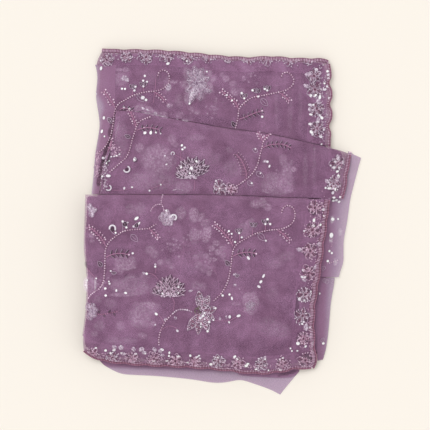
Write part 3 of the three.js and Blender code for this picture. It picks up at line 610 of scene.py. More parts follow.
WORK = {
    "pale": toned("pale beads", (0.46, 0.24, 0.38), (0.90, 0.68, 0.84), Roughness=0.30, Coat_Weight=0.5),
    "rose": toned("rose beads", (0.27, 0.09, 0.16), (0.56, 0.24, 0.38), Roughness=0.35, Coat_Weight=0.4),
    "silver": toned("silver beads", (0.40, 0.26, 0.38), (0.95, 0.82, 0.94), Roughness=0.25, Coat_Weight=0.6),
    # Painted highlight: this finish is near white, so the sequins read as glints.
    "bright": toned("bright sequins", (0.62, 0.50, 0.64), (1.0, 0.98, 1.0), Roughness=0.22, Coat_Weight=0.8),
    "film": crinkled("petal film", (0.42, 0.26, 0.41), (0.88, 0.72, 0.87)),
    "satin": toned("dark satin", (0.085, 0.034, 0.070), (0.20, 0.10, 0.17), Roughness=0.55, Alpha=0.7),
    "stem": toned("rose thread", (0.38, 0.15, 0.28), (0.54, 0.27, 0.42), Roughness=0.6),
    "outline": toned("grey thread", (0.40, 0.27, 0.39), (0.70, 0.55, 0.69), Roughness=0.5),
    "tape": toned("rose tape", (0.15, 0.048, 0.092), (0.26, 0.10, 0.17), Roughness=0.7),
    "olive": toned("olive beads", (0.09, 0.07, 0.05), (0.28, 0.24, 0.18), Roughness=0.4, Coat_Weight=0.4),
    "haze": blurred("pale work below", (0.66, 0.46, 0.62), (1.0, 0.90, 1.0)),
    # Painted shade: dark patches under the top ply where folds of the plies below are in shade, and random
    # dark patches that darken and mottle the fields.
    "shade": blurred("dark folds below", (0.020, 0.006, 0.016), (0.06, 0.02, 0.05)),
    # The dusk finish paints the shadow in the channel beside the left loose ply, and darkens the folded
    # corner at the hem.
    "dusk": blurred("deep folds beside a ply", (0.085, 0.032, 0.068), (0.16, 0.062, 0.125)),
}
WORK_KINDS = list(WORK)
print("work finishes:", ", ".join(WORK_KINDS))

# %% [markdown]
# ## Laying the work on the cloth
# Every bead has to lie on the topmost cloth, which rises and falls over the stacks. All the plies
# together become one search tree. A ray is dropped on it from above at each point of the chart,
# and gives the height and the slope there.

# %% Dropping points on the cloth


def tree_of(pieces):
    points, faces, owners = [], [], []
    for piece in pieces:
        start = len(points)
        points += [v.co for v in piece.data.vertices]
        faces += [[start + i for i in p.vertices] for p in piece.data.polygons]
        owners += [piece.name] * len(piece.data.polygons)
    return BVHTree.FromPolygons(points, faces), owners


CLOTH, OWNERS = tree_of(list(plies.values()) + [pile])
DOWN, ABOVE_ALL = Vector((0, 0, -1)), 0.2
FRONT = {"front_ply", "front_side_strip", "front_hem_strip"}
MIDDLE = {"middle_ply", "middle_side_strip"}
BACK = {"back_ply", "back_side_strip", "back_hem_strip", "left_loose"}


def lie(across, down, on=None):
    """Where a chart point comes to lie on the cloth, and the cloth's normal there. It is None beside
    the cloth, and where another ply than those in on lies uppermost."""
    x, y = plan(across, down)
    place, normal, face, _ = CLOTH.ray_cast(Vector((x, y, ABOVE_ALL)), DOWN)
    if place is None or (on and OWNERS[face] not in on):
        return None
    return place, normal if normal.z > 0 else -normal


print("the cloth is", round(lie(170, 250)[0].z * 1000, 1), "mm high in the front stack's middle")

# %% [markdown]
# ## The needle
# One class keeps what is sewn on one part of the saree until it is made as one piece. Chart
# places are in squares and sizes in millimetres, as on a bead card. Lines are smoothed as a hand
# draws them, and then followed by beads or by thread.

# %% A needle that sews beads, sequins and lines


CURVE_STEPS = 12


def drawn(points, pitch, slack=0.01):
    """Points every pitch along a smooth line through the given ones, flat or in space."""
    knots = np.array([points[0], *points, points[-1]], float)
    fine = []
    for a, b, c, d in zip(knots, knots[1:], knots[2:], knots[3:]):
        for t in np.linspace(0, 1, CURVE_STEPS, endpoint=False):
            bend = (2 * a - 5 * b + 4 * c - d) * t**2 + (3 * b - a - 3 * c + d) * t**3
            fine.append(0.5 * (2 * b + (c - a) * t + bend))
    fine = np.array([*fine, knots[-1]])
    run = np.concatenate([[0], np.cumsum(np.linalg.norm(np.diff(fine, axis=0), axis=1))])
    at = np.arange(0, run[-1] + pitch * slack, pitch)
    return np.stack([np.interp(at, run, column) for column in fine.T], axis=1)


def moved(at, far, angle):
    """The chart point so many squares away from at, in degrees, up counting positive."""
    away = math.radians(angle)
    return at[0] + far * math.cos(away), at[1] - far * math.sin(away)


def heading(line):
    """The direction of a line at each of its points, in degrees on the chart, up counting positive."""
    step = np.gradient(line, axis=0)
    return np.degrees(np.arctan2(-step[:, 1], step[:, 0]))


PETAL_REACH = 0.9  # share of a petal that must lie on its own ply


class Needle:
    """Collects the work on one part of the saree, then makes it. Work that would reach over a fold,
    onto plies other than those in on, is left out: it goes on where the fold hides it."""

    def __init__(self, name, seed, on=None):
        self.name, self.chance, self.on = name, np.random.default_rng(seed), on
        self.copies, self.lines = [], []

    def set_down(self, kind, finish, at, size, turn=0.0, tone=None, lift=0.0, tilt=0.0, aspect=1.0):
        """One copy of a template: size in millimetres, turn and tilt in degrees."""
        tone = self.chance.random() if tone is None else tone
        self.copies.append((kind, finish, at, size, turn, tone, lift, tilt, aspect))

    def bead(self, at, size=1.9, finish="pale", tone=None, lift=0.0):
        kind = "bead" if size > 1.5 else "fine"
        self.set_down(kind, finish, at, size * self.chance.uniform(0.92, 1.08), 0, tone, lift + size * 0.3)

    def row(self, points, pitch, size=1.9, finish="pale", lift=0.0):
        for at in drawn(points, pitch):
            self.bead(at, size, finish, None, lift)

    def sequin(self, at, size=4.0, turn=0.0, aspect=1.0, tone=None, lift=1.3):
        tilt = self.chance.uniform(-10, 10)
        # The tone sets how near white each sequin's painted glint is.
        tone = min(1.0, self.chance.uniform(0.35, 1.3)) if tone is None else tone
        self.set_down("sequin", "bright", at, size * 0.94, turn, tone, lift, tilt, aspect)

    def petal(self, at, length, width, turn, finish="film", tone=None, lift=0.25):
        self.set_down("petal", finish, at, length, turn, tone, lift, 0.0, width / length)

    def patch(self, at, width, height, tone, turn=0.0, finish="haze"):
        """A blurred patch of the work below, or of painted shade with the shade finish, its two widths in
        squares.
        """
        height = height or width  # a height of 0 stands for a round patch
        depth = -0.55 - 0.3 * self.chance.random()
        self.set_down("patch", finish, at, width * 1.2, turn, tone, depth, 0.0, height / width)

    def stitch(self, points, width=0.5, finish="stem", pitch=1.2, lift=0.15):
        self.lines.append((drawn(points, pitch), width, finish, lift))

    def outline_leaf(self, at, length, width, turn, dark=True):
        """A pointed leaf in grey outline thread with a vein, from its root, over dark satin."""
        upper = [(0, 0), (0.22, 0.42), (0.5, 0.5), (0.8, 0.28), (1, 0)]
        local = upper + [(x, -y) for x, y in upper[-2::-1]]
        place = chart_frame(at, 1.0, turn)
        scaled = [place(x * length / 1.2, y * width / 1.2) for x, y in local]
        self.stitch(scaled, 0.48, "outline", 0.9, 0.35)
        self.stitch([place(0, 0), place(length * 0.8 / 1.2, 0)], 0.34, "outline", 1.0, 0.65)
        if dark:
            self.petal(at, length, width, turn, "satin", None, 0.2)

    def sew(self, slot, *nodes):
        """Makes what was collected, as one piece of beads and sequins and one of thread."""
        made = []
        if self.copies:
            made.append(self._beads())
        if self.lines:
            made.append(self._threads())
        for piece in made:
            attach(piece, "root")
        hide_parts(*nodes)
        triangles = [sum(len(p.vertices) - 2 for p in piece.data.polygons) for piece in made]
        print(self.name, len(self.copies), "copies,", len(self.lines), "lines, triangles", triangles)

    def _beads(self):
        """Every copy as part of one mesh."""
        points, corners, tones, finishes, count = [], [], [], [], 0
        used = sorted({finish for _, finish, *_ in self.copies}, key=WORK_KINDS.index)
        for kind, finish, at, size, turn, tone, lift, tilt, aspect in self.copies:
            spot = lie(*at, self.on)
            tip = moved(at, size * PETAL_REACH * MM / SQUARE, turn)
            if spot is None or kind == "petal" and lie(*tip, self.on) is None:
                continue
            place, normal = spot
            flat = Matrix.Rotation(math.radians(turn), 4, "Z") @ Matrix.Rotation(math.radians(tilt), 4, "X")
            stand = Vector((0, 0, 1)).rotation_difference(normal).to_matrix().to_4x4() @ flat
            size *= MM
            shape, faces, fade = TEMPLATES[kind]
            grown = shape * (size, size * aspect, size)
            turned = grown @ np.array(stand.to_3x3()).T
            points.append(turned + np.array(place + normal * lift * MM))
            corners.append(faces + count)
            tones.append(fade * tone)
            finishes.append(np.full(len(faces), used.index(finish)))
            count += len(shape)
        return joined_piece(self.name, points, corners, tones, finishes, used)

    def _threads(self):
        """Every line as a round thread. The threads of one finish are one curve, made a mesh."""
        joined = bmesh.new()
        used = sorted({finish for _, _, finish, _ in self.lines}, key=WORK_KINDS.index)
        for slot, finish in enumerate(used):
            for width in sorted({w for _, w, f, _ in self.lines if f == finish}):
                curve = bpy.data.curves.new("thread", "CURVE")
                curve.dimensions, curve.bevel_resolution, curve.use_fill_caps = "3D", 1, True
                curve.bevel_depth = width * MM / 2
                for line, w, f, lift in self.lines:
                    if f == finish and w == width:
                        spots = [spot for spot in (lie(*at, self.on) for at in line) if spot]
                        if len(spots) < 2:
                            continue
                        spline = curve.splines.new("POLY")
                        spline.points.add(len(spots) - 1)
                        for point, (place, normal) in zip(spline.points, spots):
                            point.co = (*(place + normal * (lift + width / 2) * MM), 1)
                holder = bpy.data.objects.new("thread", curve)
                tube = bpy.data.meshes.new_from_object(holder)
                start = len(joined.faces)
                joined.from_mesh(tube)
                joined.faces.ensure_lookup_table()
                for face in joined.faces[start:]:
                    face.material_index, face.smooth = slot, True
                bpy.data.objects.remove(holder)
        mesh = bpy.data.meshes.new(self.name + "_thread")
        joined.to_mesh(mesh)
        joined.free()
        return placed_piece(mesh, self.chance.random(len(mesh.vertices)) * 0.3 + 0.35, used)


def placed_piece(mesh, tones, used):
    """A mesh as a piece of the scene, with the tone of each point and the finishes that it uses."""
    mesh.attributes.new("tone", "FLOAT", "POINT").data.foreach_set("value", tones)
    for finish in used:
        mesh.materials.append(WORK[finish])
    mesh.update()
    piece = bpy.data.objects.new(mesh.name, mesh)
    bpy.context.collection.objects.link(piece)
    return piece


def joined_piece(name, points, corners, tones, finishes, used):
    """Many copies of the templates as one smooth piece, from the lists kept of each copy."""
    mesh = bpy.data.meshes.new(name)
    mesh.from_pydata(np.concatenate(points), [], np.concatenate(corners))
    mesh.polygons.foreach_set("material_index", np.concatenate(finishes))
    mesh.polygons.foreach_set("use_smooth", [True] * len(mesh.polygons))
    return placed_piece(mesh, np.concatenate(tones), used)


def chart_frame(origin, scale=1.0, turn=0.0, mirror=1):
    """A local chart: (right, up) of a motif to squares of the whole chart, up counting positive."""
    cos, sin = math.cos(math.radians(turn)), math.sin(math.radians(turn))

    def place(right, up):
        right *= mirror
        return (
            origin[0] + scale * (right * cos - up * sin),
            origin[1] - scale * (right * sin + up * cos),
        )

    return place


print("the needle is threaded")

# %% [markdown]
# ## The vine
# One vine is repeated over the whole field: a beaded stem that branches into a fern of beads, a
# sprig of dark leaflets, three buds and an outlined leaf, and ends in a curl. It is drawn once
# around its branching point and set down where it shows, turned and cut by the folds.

# %% Parts of the vine
STEM = [
    (-18, -45), (-10, -37), (-4, -25), (-1, -10), (0, 0), (2, 7), (6, 12), (13, 16), (20, 20), (28, 23),
    (38, 25), (48, 26),
]
CURL = [(48, 26), (56, 29), (61, 34), (62.5, 41), (60.5, 47), (55, 49.5), (50.5, 46.5), (49, 41)]


def fern(needle, place, points, reach=3.9, pitch=3.1):
    """A short thread stem with beads on threads at both sides."""
    line = [place(*p) for p in points]
    needle.stitch(line, 0.95, "stem")
    spots = drawn(line, pitch)
    for index, (at, angle) in enumerate(zip(spots, heading(spots))):
        if index == 0:
            continue
        share = index / (len(spots) - 1)
        for side in (-1, 1):
            turn = angle + side * needle.chance.uniform(40, 62)
            length = reach * (1 - 0.3 * share) * needle.chance.uniform(0.8, 1.15)
            tip = moved(at, length, turn)
            needle.stitch([at, tip], 0.7, "stem", length / 2, 0.3)
            needle.bead(tip, needle.chance.choice([1.7, 2, 2.2]), "pale", needle.chance.uniform(0.15, 1), 0.2)
            half = ((at[0] + tip[0]) / 2 + needle.chance.uniform(-0.4, 0.4), (at[1] + tip[1]) / 2)
            needle.bead(half, 1.2, "rose", None)
        needle.bead(at, 1.2, "pale", 0.35)
    needle.bead(spots[-1], 1.9, "pale")


def sprig(needle, place, points, reach=5.2, pitch=4.9, end=2.4):
    """A thread stem with pairs of dark satin leaflets, each with a pale rib, and a bead at its end."""
    line = [place(*p) for p in points]
    needle.stitch(line, 0.95, "stem", 1.2, 0.9)
    spots = drawn(line, pitch)
    for index, (at, angle) in enumerate(zip(spots, heading(spots))):
        if index == 0:
            continue
        for side in (-1, 1):
            length, turn = reach * 1.2 * needle.chance.uniform(0.9, 1.1), angle + side * 60
            tone = needle.chance.uniform(0.1, 0.8)
            needle.petal(at, length * 1.05, length * 0.42, turn - side * 14, "satin", tone, 0.2)
            needle.stitch([at, moved(at, length * 0.85, turn)], 0.42, "outline", length * 0.4, 0.55)
    if end:
        needle.bead(line[-1], end, "pale", 1)


def ring(needle, centre, radius, start, stop, width):
    """A painted highlight: an arc of bright thread where the rim of a cupped sequin would catch the light, in
    degrees from its right side.
    """
    arc = [moved(centre, radius, angle) for angle in np.linspace(start, stop, 9)]
    needle.stitch(arc, width, "bright", 0.6, 0.7)


def bud(needle, place, root, tip, white=True):
    """Outlined petals round a dark heart on their stalk, with sequins at their tips."""
    root, tip = place(*root), place(*tip)
    angle = math.degrees(math.atan2(root[1] - tip[1], tip[0] - root[0]))
    needle.stitch([root, tip], 0.7, "stem")
    for side in (-1, 0, 1):
        turn = angle + side * 38
        length = 7.4 if side else 6.6
        needle.petal(tip, length, 3.9, turn, "satin", needle.chance.uniform(0.2, 0.9), 0.2)
        start = chart_frame(tip, length / 8.4, turn)
        rim = [start(*p) for p in ((0, 0), (2.6, 1.9), (6.4, 0.3), (2.8, -1.9), (0, 0))]
        needle.stitch(rim, 0.42, "outline", 0.8, 0.5)
    if white:
        needle.sequin(tip, 2.6)


def stem_row(needle, line):
    """The stem: a dark rose thread with a pale bead at every second stitch. The dark thread also paints the
    shade round the beads and in the gaps between them.
    """
    needle.stitch(line, 1, "tape")
    for at in drawn(line, 2.45):
        needle.bead(at, 1.85, "pale", needle.chance.uniform(0.2, 1), 0.45)


def vine(needle, place, left_out=()):
    parts = {
        "stem": lambda: stem_row(needle, [place(*p) for p in STEM + CURL[1:]]),
        "fern": lambda: fern(needle, place, [(1, 9), (-3, 16), (-9, 23), (-14, 28), (-17, 30.5)]),
        "sprig": lambda: sprig(needle, place, [(1, -1), (8, 2), (16, 3), (24, 1.5)]),
        "leaf": lambda: needle.outline_leaf(place(-2.5, -10.5), 8.5, 5.5, 128),
        "bud one": lambda: bud(needle, place, (8, 13), (7, 22)),
        "bud two": lambda: bud(needle, place, (20, 20), (21, 28), False),
        "bud three": lambda: bud(needle, place, (33, 24), (33, 31)),
        "low leaf": lambda: needle.outline_leaf(place(26, 21.5), 11.5, 6.5, -46, False),
        "low fern": lambda: fern(needle, place, [(45, 25), (51, 21), (57, 15)], 3.6),
    }
    for name, draw in parts.items():
        if name not in left_out:
            draw()


front = Needle("front_vines", 11, FRONT)
vine(front, chart_frame((232, 255)))
NO_STEM = ("stem", "bud one", "bud two", "bud three", "low fern", "fern")
vine(front, chart_frame((105.5, 256)), left_out=NO_STEM)
stem_row(front, [
    (99.7, 288.7), (104, 281), (105.4, 269), (105.7, 258.4), (106.3, 249.2), (110.3, 241.3), (118.2, 234.9),
    (124.7, 231), (136.6, 229.3), (148.4, 228.5), (153.7, 225.6), (157.6, 223.6),
])
upright = chart_frame((0, 0))
fern(front, upright, [(106.5, -246), (103, -239.5), (97.5, -233), (92.5, -228.5), (88.5, -226)])
fern(front, upright, [(149, -228.6), (154, -232.5), (159.5, -239)], 3.6)
back = Needle("back_vines", 12, BACK)
vine(back, chart_frame((114.5, 114), 0.88), left_out=("bud one", "fern", "sprig"))
fern(back, upright, [(115.2, -108), (112.5, -103), (108.5, -97.5), (104, -91)], 3.6)
sprig(back, upright, [(119, -110.5), (124, -108.5), (131, -109.8)], 3.8, 4.2, None)
back.stitch([(155.6, 79), (155.6, 87), (153.4, 104)], 0.45)
stem_row(back, [
    (235.5, 128), (237.9, 118.1), (239, 109.5), (243.4, 103.7), (252, 98), (262.2, 95.8), (278, 92.5),
    (286.8, 90), (292.6, 84.9), (293.3, 79), (288.3, 73), (282.5, 74), (281.3, 78.3),
])
fern(back, upright, [(238.6, -110), (236, -104), (230, -98), (225, -94), (220.5, -90.5)], 3.6)
fern(back, upright, [(279, -93), (284, -96), (289, -101)], 3.6)
sprig(back, upright, [(239, -119.5), (246, -117), (254, -113.5), (262, -111)], 4.2, 4.6, 2.6)
vine(back, chart_frame((238, 118), 0.88), left_out=("stem", "fern", "low fern", "sprig"))
back.stitch([(160.5, 95.7), (165, 101), (168.8, 106)], 0.45)
back.petal((167, 103.6), 6, 4.2, -55, "film", 0.6)
middle = Needle("middle_vines", 13, MIDDLE)
stem_row(middle, [
    (234.7, 187.3), (243.6, 181.3), (252.4, 173.4), (257.4, 164.5), (259.9, 154.7), (261.8, 147.8),
    (262.8, 142.8), (265.3, 139.4), (269.2, 136), (274.2, 134.5), (279.5, 136.5),
])
fern(middle, upright, [(262.8, -142), (260, -137), (257.2, -132.5)], 3, 2.8)
fern(middle, upright, [(263.5, -141), (266, -136.5), (270.5, -134)], 2.6, 2.8)
sprig(middle, upright, [
    (262.3, -148.3), (269.2, -145.4), (279.1, -144.4), (285, -145.5), (291, -148.5),
], 4.2, 4.4, None)
stem_row(middle, [
    (110.5, 172), (118.6, 164.8), (126.5, 157.6), (130, 149.7), (132.6, 139.9), (136, 129.5), (137.4, 125.5),
    (140.4, 121.7), (146.3, 118.8), (152, 117),
])
fern(middle, upright, [(136.6, -129), (134.5, -121), (131.5, -114.5), (129.5, -111)], 3.4)
sprig(middle, upright, [(137, -130.5), (145, -128.2), (153, -128.4), (160, -130)], 4, 4.6, None)
print("vines:", len(front.copies), len(middle.copies), len(back.copies), "copies")

# %% [markdown]
# ## Flowers of the field
# Three flowers are worked solid, so their CAD nodes are low pads. The lily has pointed petals of
# satin, each outlined and filled with silver beads, round a dark heart of olive beads. A carnation
# is a fan of fringed petals over a cup: jagged lines of beads, one tier over the next.

# %% Lily


def beaded_petal(needle, root, length, width, turn):
    """A satin petal under beads: an outline of beads, filled with more in close rows."""
    place = chart_frame(root, 1, turn)
    needle.petal(root, length * 1.2, width * 1.2, turn, "satin", 0.9, 0.2)
    half = [(0, 0), (0.25, 0.36), (0.5, 0.5), (0.78, 0.33), (1, 0)]
    for side in (-1, 1):
        line = [place(x * length, side * y * width) for x, y in half]
        needle.stitch(line, 0.35, "stem", 1, 0.4)
        needle.row(line, 1.35, 1.4, "silver", 0.45)
    rows = int(length / 1.6)
    for k in range(1, rows):
        share = k / rows
        reach = width * 0.5 * math.sin(math.pi * share ** 0.9) * 0.78
        for across in np.arange(-reach, reach + 0.01, 1.5):
            spot = place(share * length + needle.chance.uniform(-0.2, 0.2), across + 0.7 * (k % 2) - 0.35)
            kind = needle.chance.choice(["silver", "pale", "rose"], p=[0.35, 0.45, 0.2])
            needle.bead(spot, needle.chance.choice([1.35, 1.65]), kind, needle.chance.uniform(0.1, 1), 0.75)


lily = Needle("front_lily_beads", 21)
LILY = (200.8, 311.5)
LILY_PETALS = [  # angle, length, width
    (95, 21.5, 7.8), (63, 19, 7.4), (14, 16.5, 7.4), (-28, 15.5, 7.2), (-67, 20.5, 7.8), (-97, 22, 7.6),
    (-126, 22.5, 7.8),
]
for angle, length, width in LILY_PETALS:
    beaded_petal(lily, moved(LILY, 2, angle), length - 2, width, angle)
for k in range(26):
    far, angle = 4.2 * math.sqrt(lily.chance.random()), lily.chance.uniform(0, 2 * math.pi)
    lily.bead((198.8 + far * math.cos(angle), 310.3 + far * math.sin(angle)), 1.3, "olive", None, 0.8)
for at, size, turn, aspect in [
    ((204.4, 312.6), 3.8, 60, 0.7), ((203, 315.2), 3.8, 50, 0.8), ((200.3, 317.6), 4.4, 20, 0.8),
    ((201, 323), 3.8, 90, 0.6), ((200.8, 326), 3, 90, 0.6), ((209, 321.3), 4.4, 0, 0.9),
    ((207.6, 330.4), 3.6, 0, 1), ((213.4, 319.4), 2.8, 0, 1), ((215.2, 307.6), 2.6, 0, 1),
    ((206.8, 324.4), 2.4, 0, 1), ((204.6, 318.6), 2.4, 0, 1),
]:
    lily.sequin(at, size * 0.86, turn, aspect, None, 2.4)
lily.sew("bead_motif", "front_lily")

# %% Carnations


def carnation(needle, cup, petals, cup_width, glints, finish="pale"):
    """petals are (angle, length, width) from the cup, all in squares and degrees."""
    for angle, length, width in petals:
        place = chart_frame(cup, 1, angle)
        needle.petal(place(length * 0.1, 0), length * 1.1, width * 1.25, angle, "satin", 0.35, 0.2)
        for tier, share in enumerate((1, 0.70, 0.44)):
            reach, spread = length * share, width * (0.4 + 0.6 * share)
            fringe = []
            for k in range(5):
                out = reach * (0.98 if k % 2 == 0 else 0.76) * (1 - 0.06 * abs(k - 2))
                fringe.append(place(out * needle.chance.uniform(0.96, 1.04), spread * (k - 2) / 4))
            for a, b in zip(fringe, fringe[1:]):
                needle.stitch([a, b], 0.4, "outline", 1.2, 0.5)
                kind = needle.chance.choice([finish, "silver", "pale"])
                needle.row([a, b], 1.3, 1.25, kind, 0.45 + 0.15 * (2 - tier))
        for side in (-1, 1):
            edge = [(0, 0), (length * 0.45, side * width * 0.40), (length * 0.90, side * width * 0.46)]
            needle.row([place(*p) for p in edge], 1.25, 1.25, finish, 0.45)
    for k in range(int(cup_width * 2.6)):
        angle = needle.chance.uniform(0, math.pi)
        far = cup_width / 2 * math.sqrt(needle.chance.random())
        at = (cup[0] + far * math.cos(angle), cup[1] + 1.5 - 0.55 * far * math.sin(angle))
        needle.bead(at, 1.5, "silver", None, 0.5)
    for at, size in glints:
        needle.sequin(at, size, needle.chance.uniform(0, 180), 0.8, 0.9, 2.2)


front_carnation = Needle("front_carnation_beads", 22)
carnation(
    front_carnation, (169, 295),
    [
        (157, 17.5, 8), (133, 17.5, 8), (110, 19, 8), (86, 21, 8.5), (62, 19, 8.5), (38, 19.5, 8.5),
        (17, 17, 8),
    ],
    17, [((178.6, 286.6), 2.4), ((162.8, 293.2), 2.6), ((178.5, 292.5), 2.2)],
)
front_carnation.sew("bead_motif", "front_carnation")

middle_carnation = Needle("middle_carnation_beads", 23)
carnation(
    middle_carnation, (191.5, 177.5),
    [
        (168, 16.5, 7), (147, 18, 8), (124, 19.5, 8), (100, 20.5, 8.5), (76, 21, 8.5), (54, 21.5, 8.5),
        (33, 21.5, 8),
    ],
    14, [((191.6, 168.5), 4.6), ((196.6, 161.6), 3.4), ((181.3, 167.5), 3), ((190, 173.4), 2.8)],
    "silver",
)
middle_carnation.sew("bead_motif", "middle_carnation")

# %% [markdown]
# ## Clear flowers, stray sprigs and glints
# Between the vines lie flowers of clear petal film, stalks with a few leaves, and loose sequins.
# The bright ones are painted highlights, a near-white colour. They are lists of places, since no rule repeats
# them.

# %% Clear flowers


def clear_petal(needle, root, length, width, angle, tone=0.6):
    """A petal of clear film with a thin outline and a few specks. Its sizes are in squares."""
    needle.petal(root, length * 1.2, width * 1.2, angle, "film", tone, 0.3)
    place, half = chart_frame(root, 1, angle), width / 2
    line = [
        place(length * 0.1, 0), place(length * 0.4, half), place(length * 0.8, half * 0.8), place(length, 0),
    ]
    back_line = [place(length * 0.8, -half * 0.8), place(length * 0.4, -half), place(length * 0.1, 0)]
    needle.stitch(line + back_line, 0.32, "outline", 1.2, 0.7)
    for k in range(int(length / 4)):
        far, off = needle.chance.uniform(0.25, 0.95) * length, needle.chance.normal(0, half * 0.4)
        needle.bead(place(far, off), 1, "rose", needle.chance.uniform(0.2, 0.8), 0.8)
    needle.bead(place(length * 0.9, 0), 1.3, "silver", None, 0.7)


def clear_flower(needle, centre, radius, angles, tone=0.6, width=0.72):
    for angle in angles:
        length = radius * needle.chance.uniform(0.92, 1.05)
        clear_petal(needle, centre, length, length * width, angle, tone)


for angle, length, width, tone in (
    (175, 8, 7, 0.4), (130, 7.5, 7, 0.4), (84, 9, 6, 0.8), (6, 9, 7, 1), (-52, 9, 7, 0.75),
    (-100, 7.5, 7, 0.45),
):
    clear_petal(front, (166.6, 218.2), length, width, angle, tone)
ring(front, (174, 217.4), 2.6, -70, 190, 2.2)
front.sequin((166.6, 210.6), 2.6)
clear_flower(front, (90, 211), 8, (84, 12, -55), 0.75)
clear_flower(front, (89.5, 311), 9.5, (100, 55, 12, -30, -75), 0.35)
for angle, length, width, tone in (
    (70, 17, 7, 0.25), (99, 18, 7.5, 0.25), (126, 17, 7.5, 0.25), (27, 14, 7.5, 0.35), (160, 11, 6.5, 0.2),
    (-145, 14, 7, 0.3), (-30, 16.5, 8, 0.35), (-77, 17, 7.5, 0.30), (-112, 21.5, 7.5, 0.75),
):
    clear_petal(back, (197, 84), length, width, angle, tone)
ring(back, (193.4, 94.6), 2.2, 60, 250, 1.2)
back.sequin((189.6, 103.8), 3.2, 60, 0.7)
back.sequin((206.8, 72), 2.4, 0, 0.8)
back.petal((168.8, 83.4), 9.5, 7.4, -95, "film", 0.5)
clear_flower(front, (250, 305), 5.5, (90, 18, -54, 234, 162), 0.1)
for angle in (70, 110, 20, 160, -20):
    back.petal((125, 80), 5.5, 3.8, angle, "film", 0.7, 0.3)
# Film petals at full tone, which paint the whitish glints just above the middle stack's edge.
for at in ((145.7, 109.6), (153.6, 112.8), (141, 108)):
    back.petal(at, 5, 3.4, -20, "film", 1, 0.3)

# %% Stray sprigs and stalks
front.stitch([(152, 210), (155, 206), (159, 204.3), (161.8, 204.5)], 0.5)
front.row([(151.2, 211), (152.6, 208), (155.2, 205.6), (158.5, 204.4), (161.8, 204.6)], 2, 1.7)
front.row([(163, 195.5), (162, 199), (161.6, 203), (163.4, 207.5), (164.4, 211)], 1.9, 1.6)
for stalk in (
    [(172, 296.5), (174.5, 302), (173.5, 311)], [(191.5, 311), (186, 309.2), (178, 309.4), (172.5, 313.5)],
    [(164, 323), (162.2, 318), (158, 313.5)], [(161, 330), (168, 325.5), (175, 326.5), (177.8, 330)],
    [(214.5, 320), (221, 320.2), (229, 320), (234, 317.5), (238, 315.4)],
    [(146, 273), (151.5, 273.4), (156, 276), (158.5, 279.5)], [(155.8, 266), (156.2, 270), (155.4, 273.6)],
    [(88, 268), (92, 273), (96.8, 278)],
):
    front.stitch(stalk, 0.55, "stem")
front.row([(191.5, 311), (186, 309.2), (178, 309.4), (172.5, 313.5)], 2.2, 2.2, "silver")
stem_row(front, [(172.5, 313.5), (165.5, 321), (161, 330), (159.2, 338), (159.5, 345)])
front.row([(96, 291), (99, 289), (103, 285), (105.4, 280)], 2, 1.7)
front.row([(89.5, 297.5), (92, 294), (96, 291)], 2, 1.9)
for at, length, width, turn in (
    ((174.5, 315.5), 5, 3.6, -55), ((167, 317.5), 4.6, 3, 220), ((219.5, 316), 5, 3.2, -80),
    ((188, 290.6), 6, 3.2, 8), ((226, 318), 4, 3, 80), ((146, 273.4), 4.4, 3.4, 160),
    ((155.8, 265.6), 3.4, 3, 90), ((232.5, 275), 6, 3.2, 25), ((233, 284), 5, 3.2, -20),
):
    front.petal(at, length, width, turn, "film", 0.55, 0.4)
front.outline_leaf((235, 276.5), 6, 3.4, 25)
front.outline_leaf((112, 273), 6.5, 3.6, 8)
front.row([(97, 313.5), (103, 313.8), (110, 312.5), (118, 311)], 2.3, 1.5, "rose")
for at, angle in (((99, 313), 60), ((104, 313.5), -60), ((109, 312.5), 55), ((114, 312), -60)):
    front.petal(at, 5, 2.6, angle, "satin", None, 0.1)

# %% Buds at the left vine
front.petal((113.4, 231.6), 5.4, 4.6, 92, "satin", 0.1, 0.4)
ring(front, (113.1, 228.2), 2.9, -25, 205, 2.3)
front.stitch([(110.6, 229.4), (113, 232.6), (116.6, 235.4)], 0.5, "outline")
front.sequin((116.2, 232.6), 2.6)
front.sequin((116, 229.6), 2)
front.stitch([(123.6, 231), (123.2, 227), (124.4, 224.6)], 0.4, "outline")
front.outline_leaf((125.6, 227), 7, 6, 92)
for at, size, turn, aspect in (
    ((123.2, 221.4), 3, 0, 1), ((127, 227.4), 2.8, 0, 1), ((128.4, 222.4), 1.8, 0, 1),
    ((137, 218.4), 6.4, 38, 0.55), ((139.6, 223.2), 4.2, 60, 0.5), ((134, 226.4), 2.8, 0, 1),
):
    front.sequin(at, size, turn, aspect)
front.outline_leaf((136, 228), 7, 5, 70)

# %% Bright sequins, one list to each stack: across, down, size, and turn and narrowness where it has them
FRONT_GLINTS = [
    (106, 288, 3.4, 20, 0.9), (110.2, 283.2, 2.8), (109.6, 281, 2), (117, 290, 3.6, 90, 0.7),
    (126.2, 292.4, 3.8, -15, 0.7), (106.4, 295, 3.2, 0, 0.9), (97, 278, 2.2), (88.6, 279.8, 2.2),
    (222.6, 295, 3), (229.4, 294, 2.8, 30, 1), (231.8, 297.8, 4.8, 100, 0.5), (156.6, 313.4, 4.4, -38, 0.7),
    (177.6, 330, 3.8, -45, 0.7), (229.6, 316.2, 4.2, 90, 0.8), (229, 321.6, 3, -60, 0.7),
    (238.4, 315.2, 5.4, 20, 0.6), (263.3, 275.6, 5.6, 62, 0.5), (258.6, 286.2, 4.6, 150, 0.7),
    (260.6, 281.4, 4.6, 50, 0.7), (267.2, 219.2, 3), (269.8, 224, 3), (248.2, 257.8, 5.4, -55, 0.6),
    (228.8, 231, 2.8), (231.6, 233.6, 2.6), (241.6, 237.2, 2.6), (235, 241.8, 2.6), (133.2, 253, 2.8),
    (265.6, 240.6, 2.2), (155.6, 266.4, 2.6), (147, 273.4, 3.2), (111.4, 270.6, 2.4, 0, 0.8), (155.6, 324, 2),
]
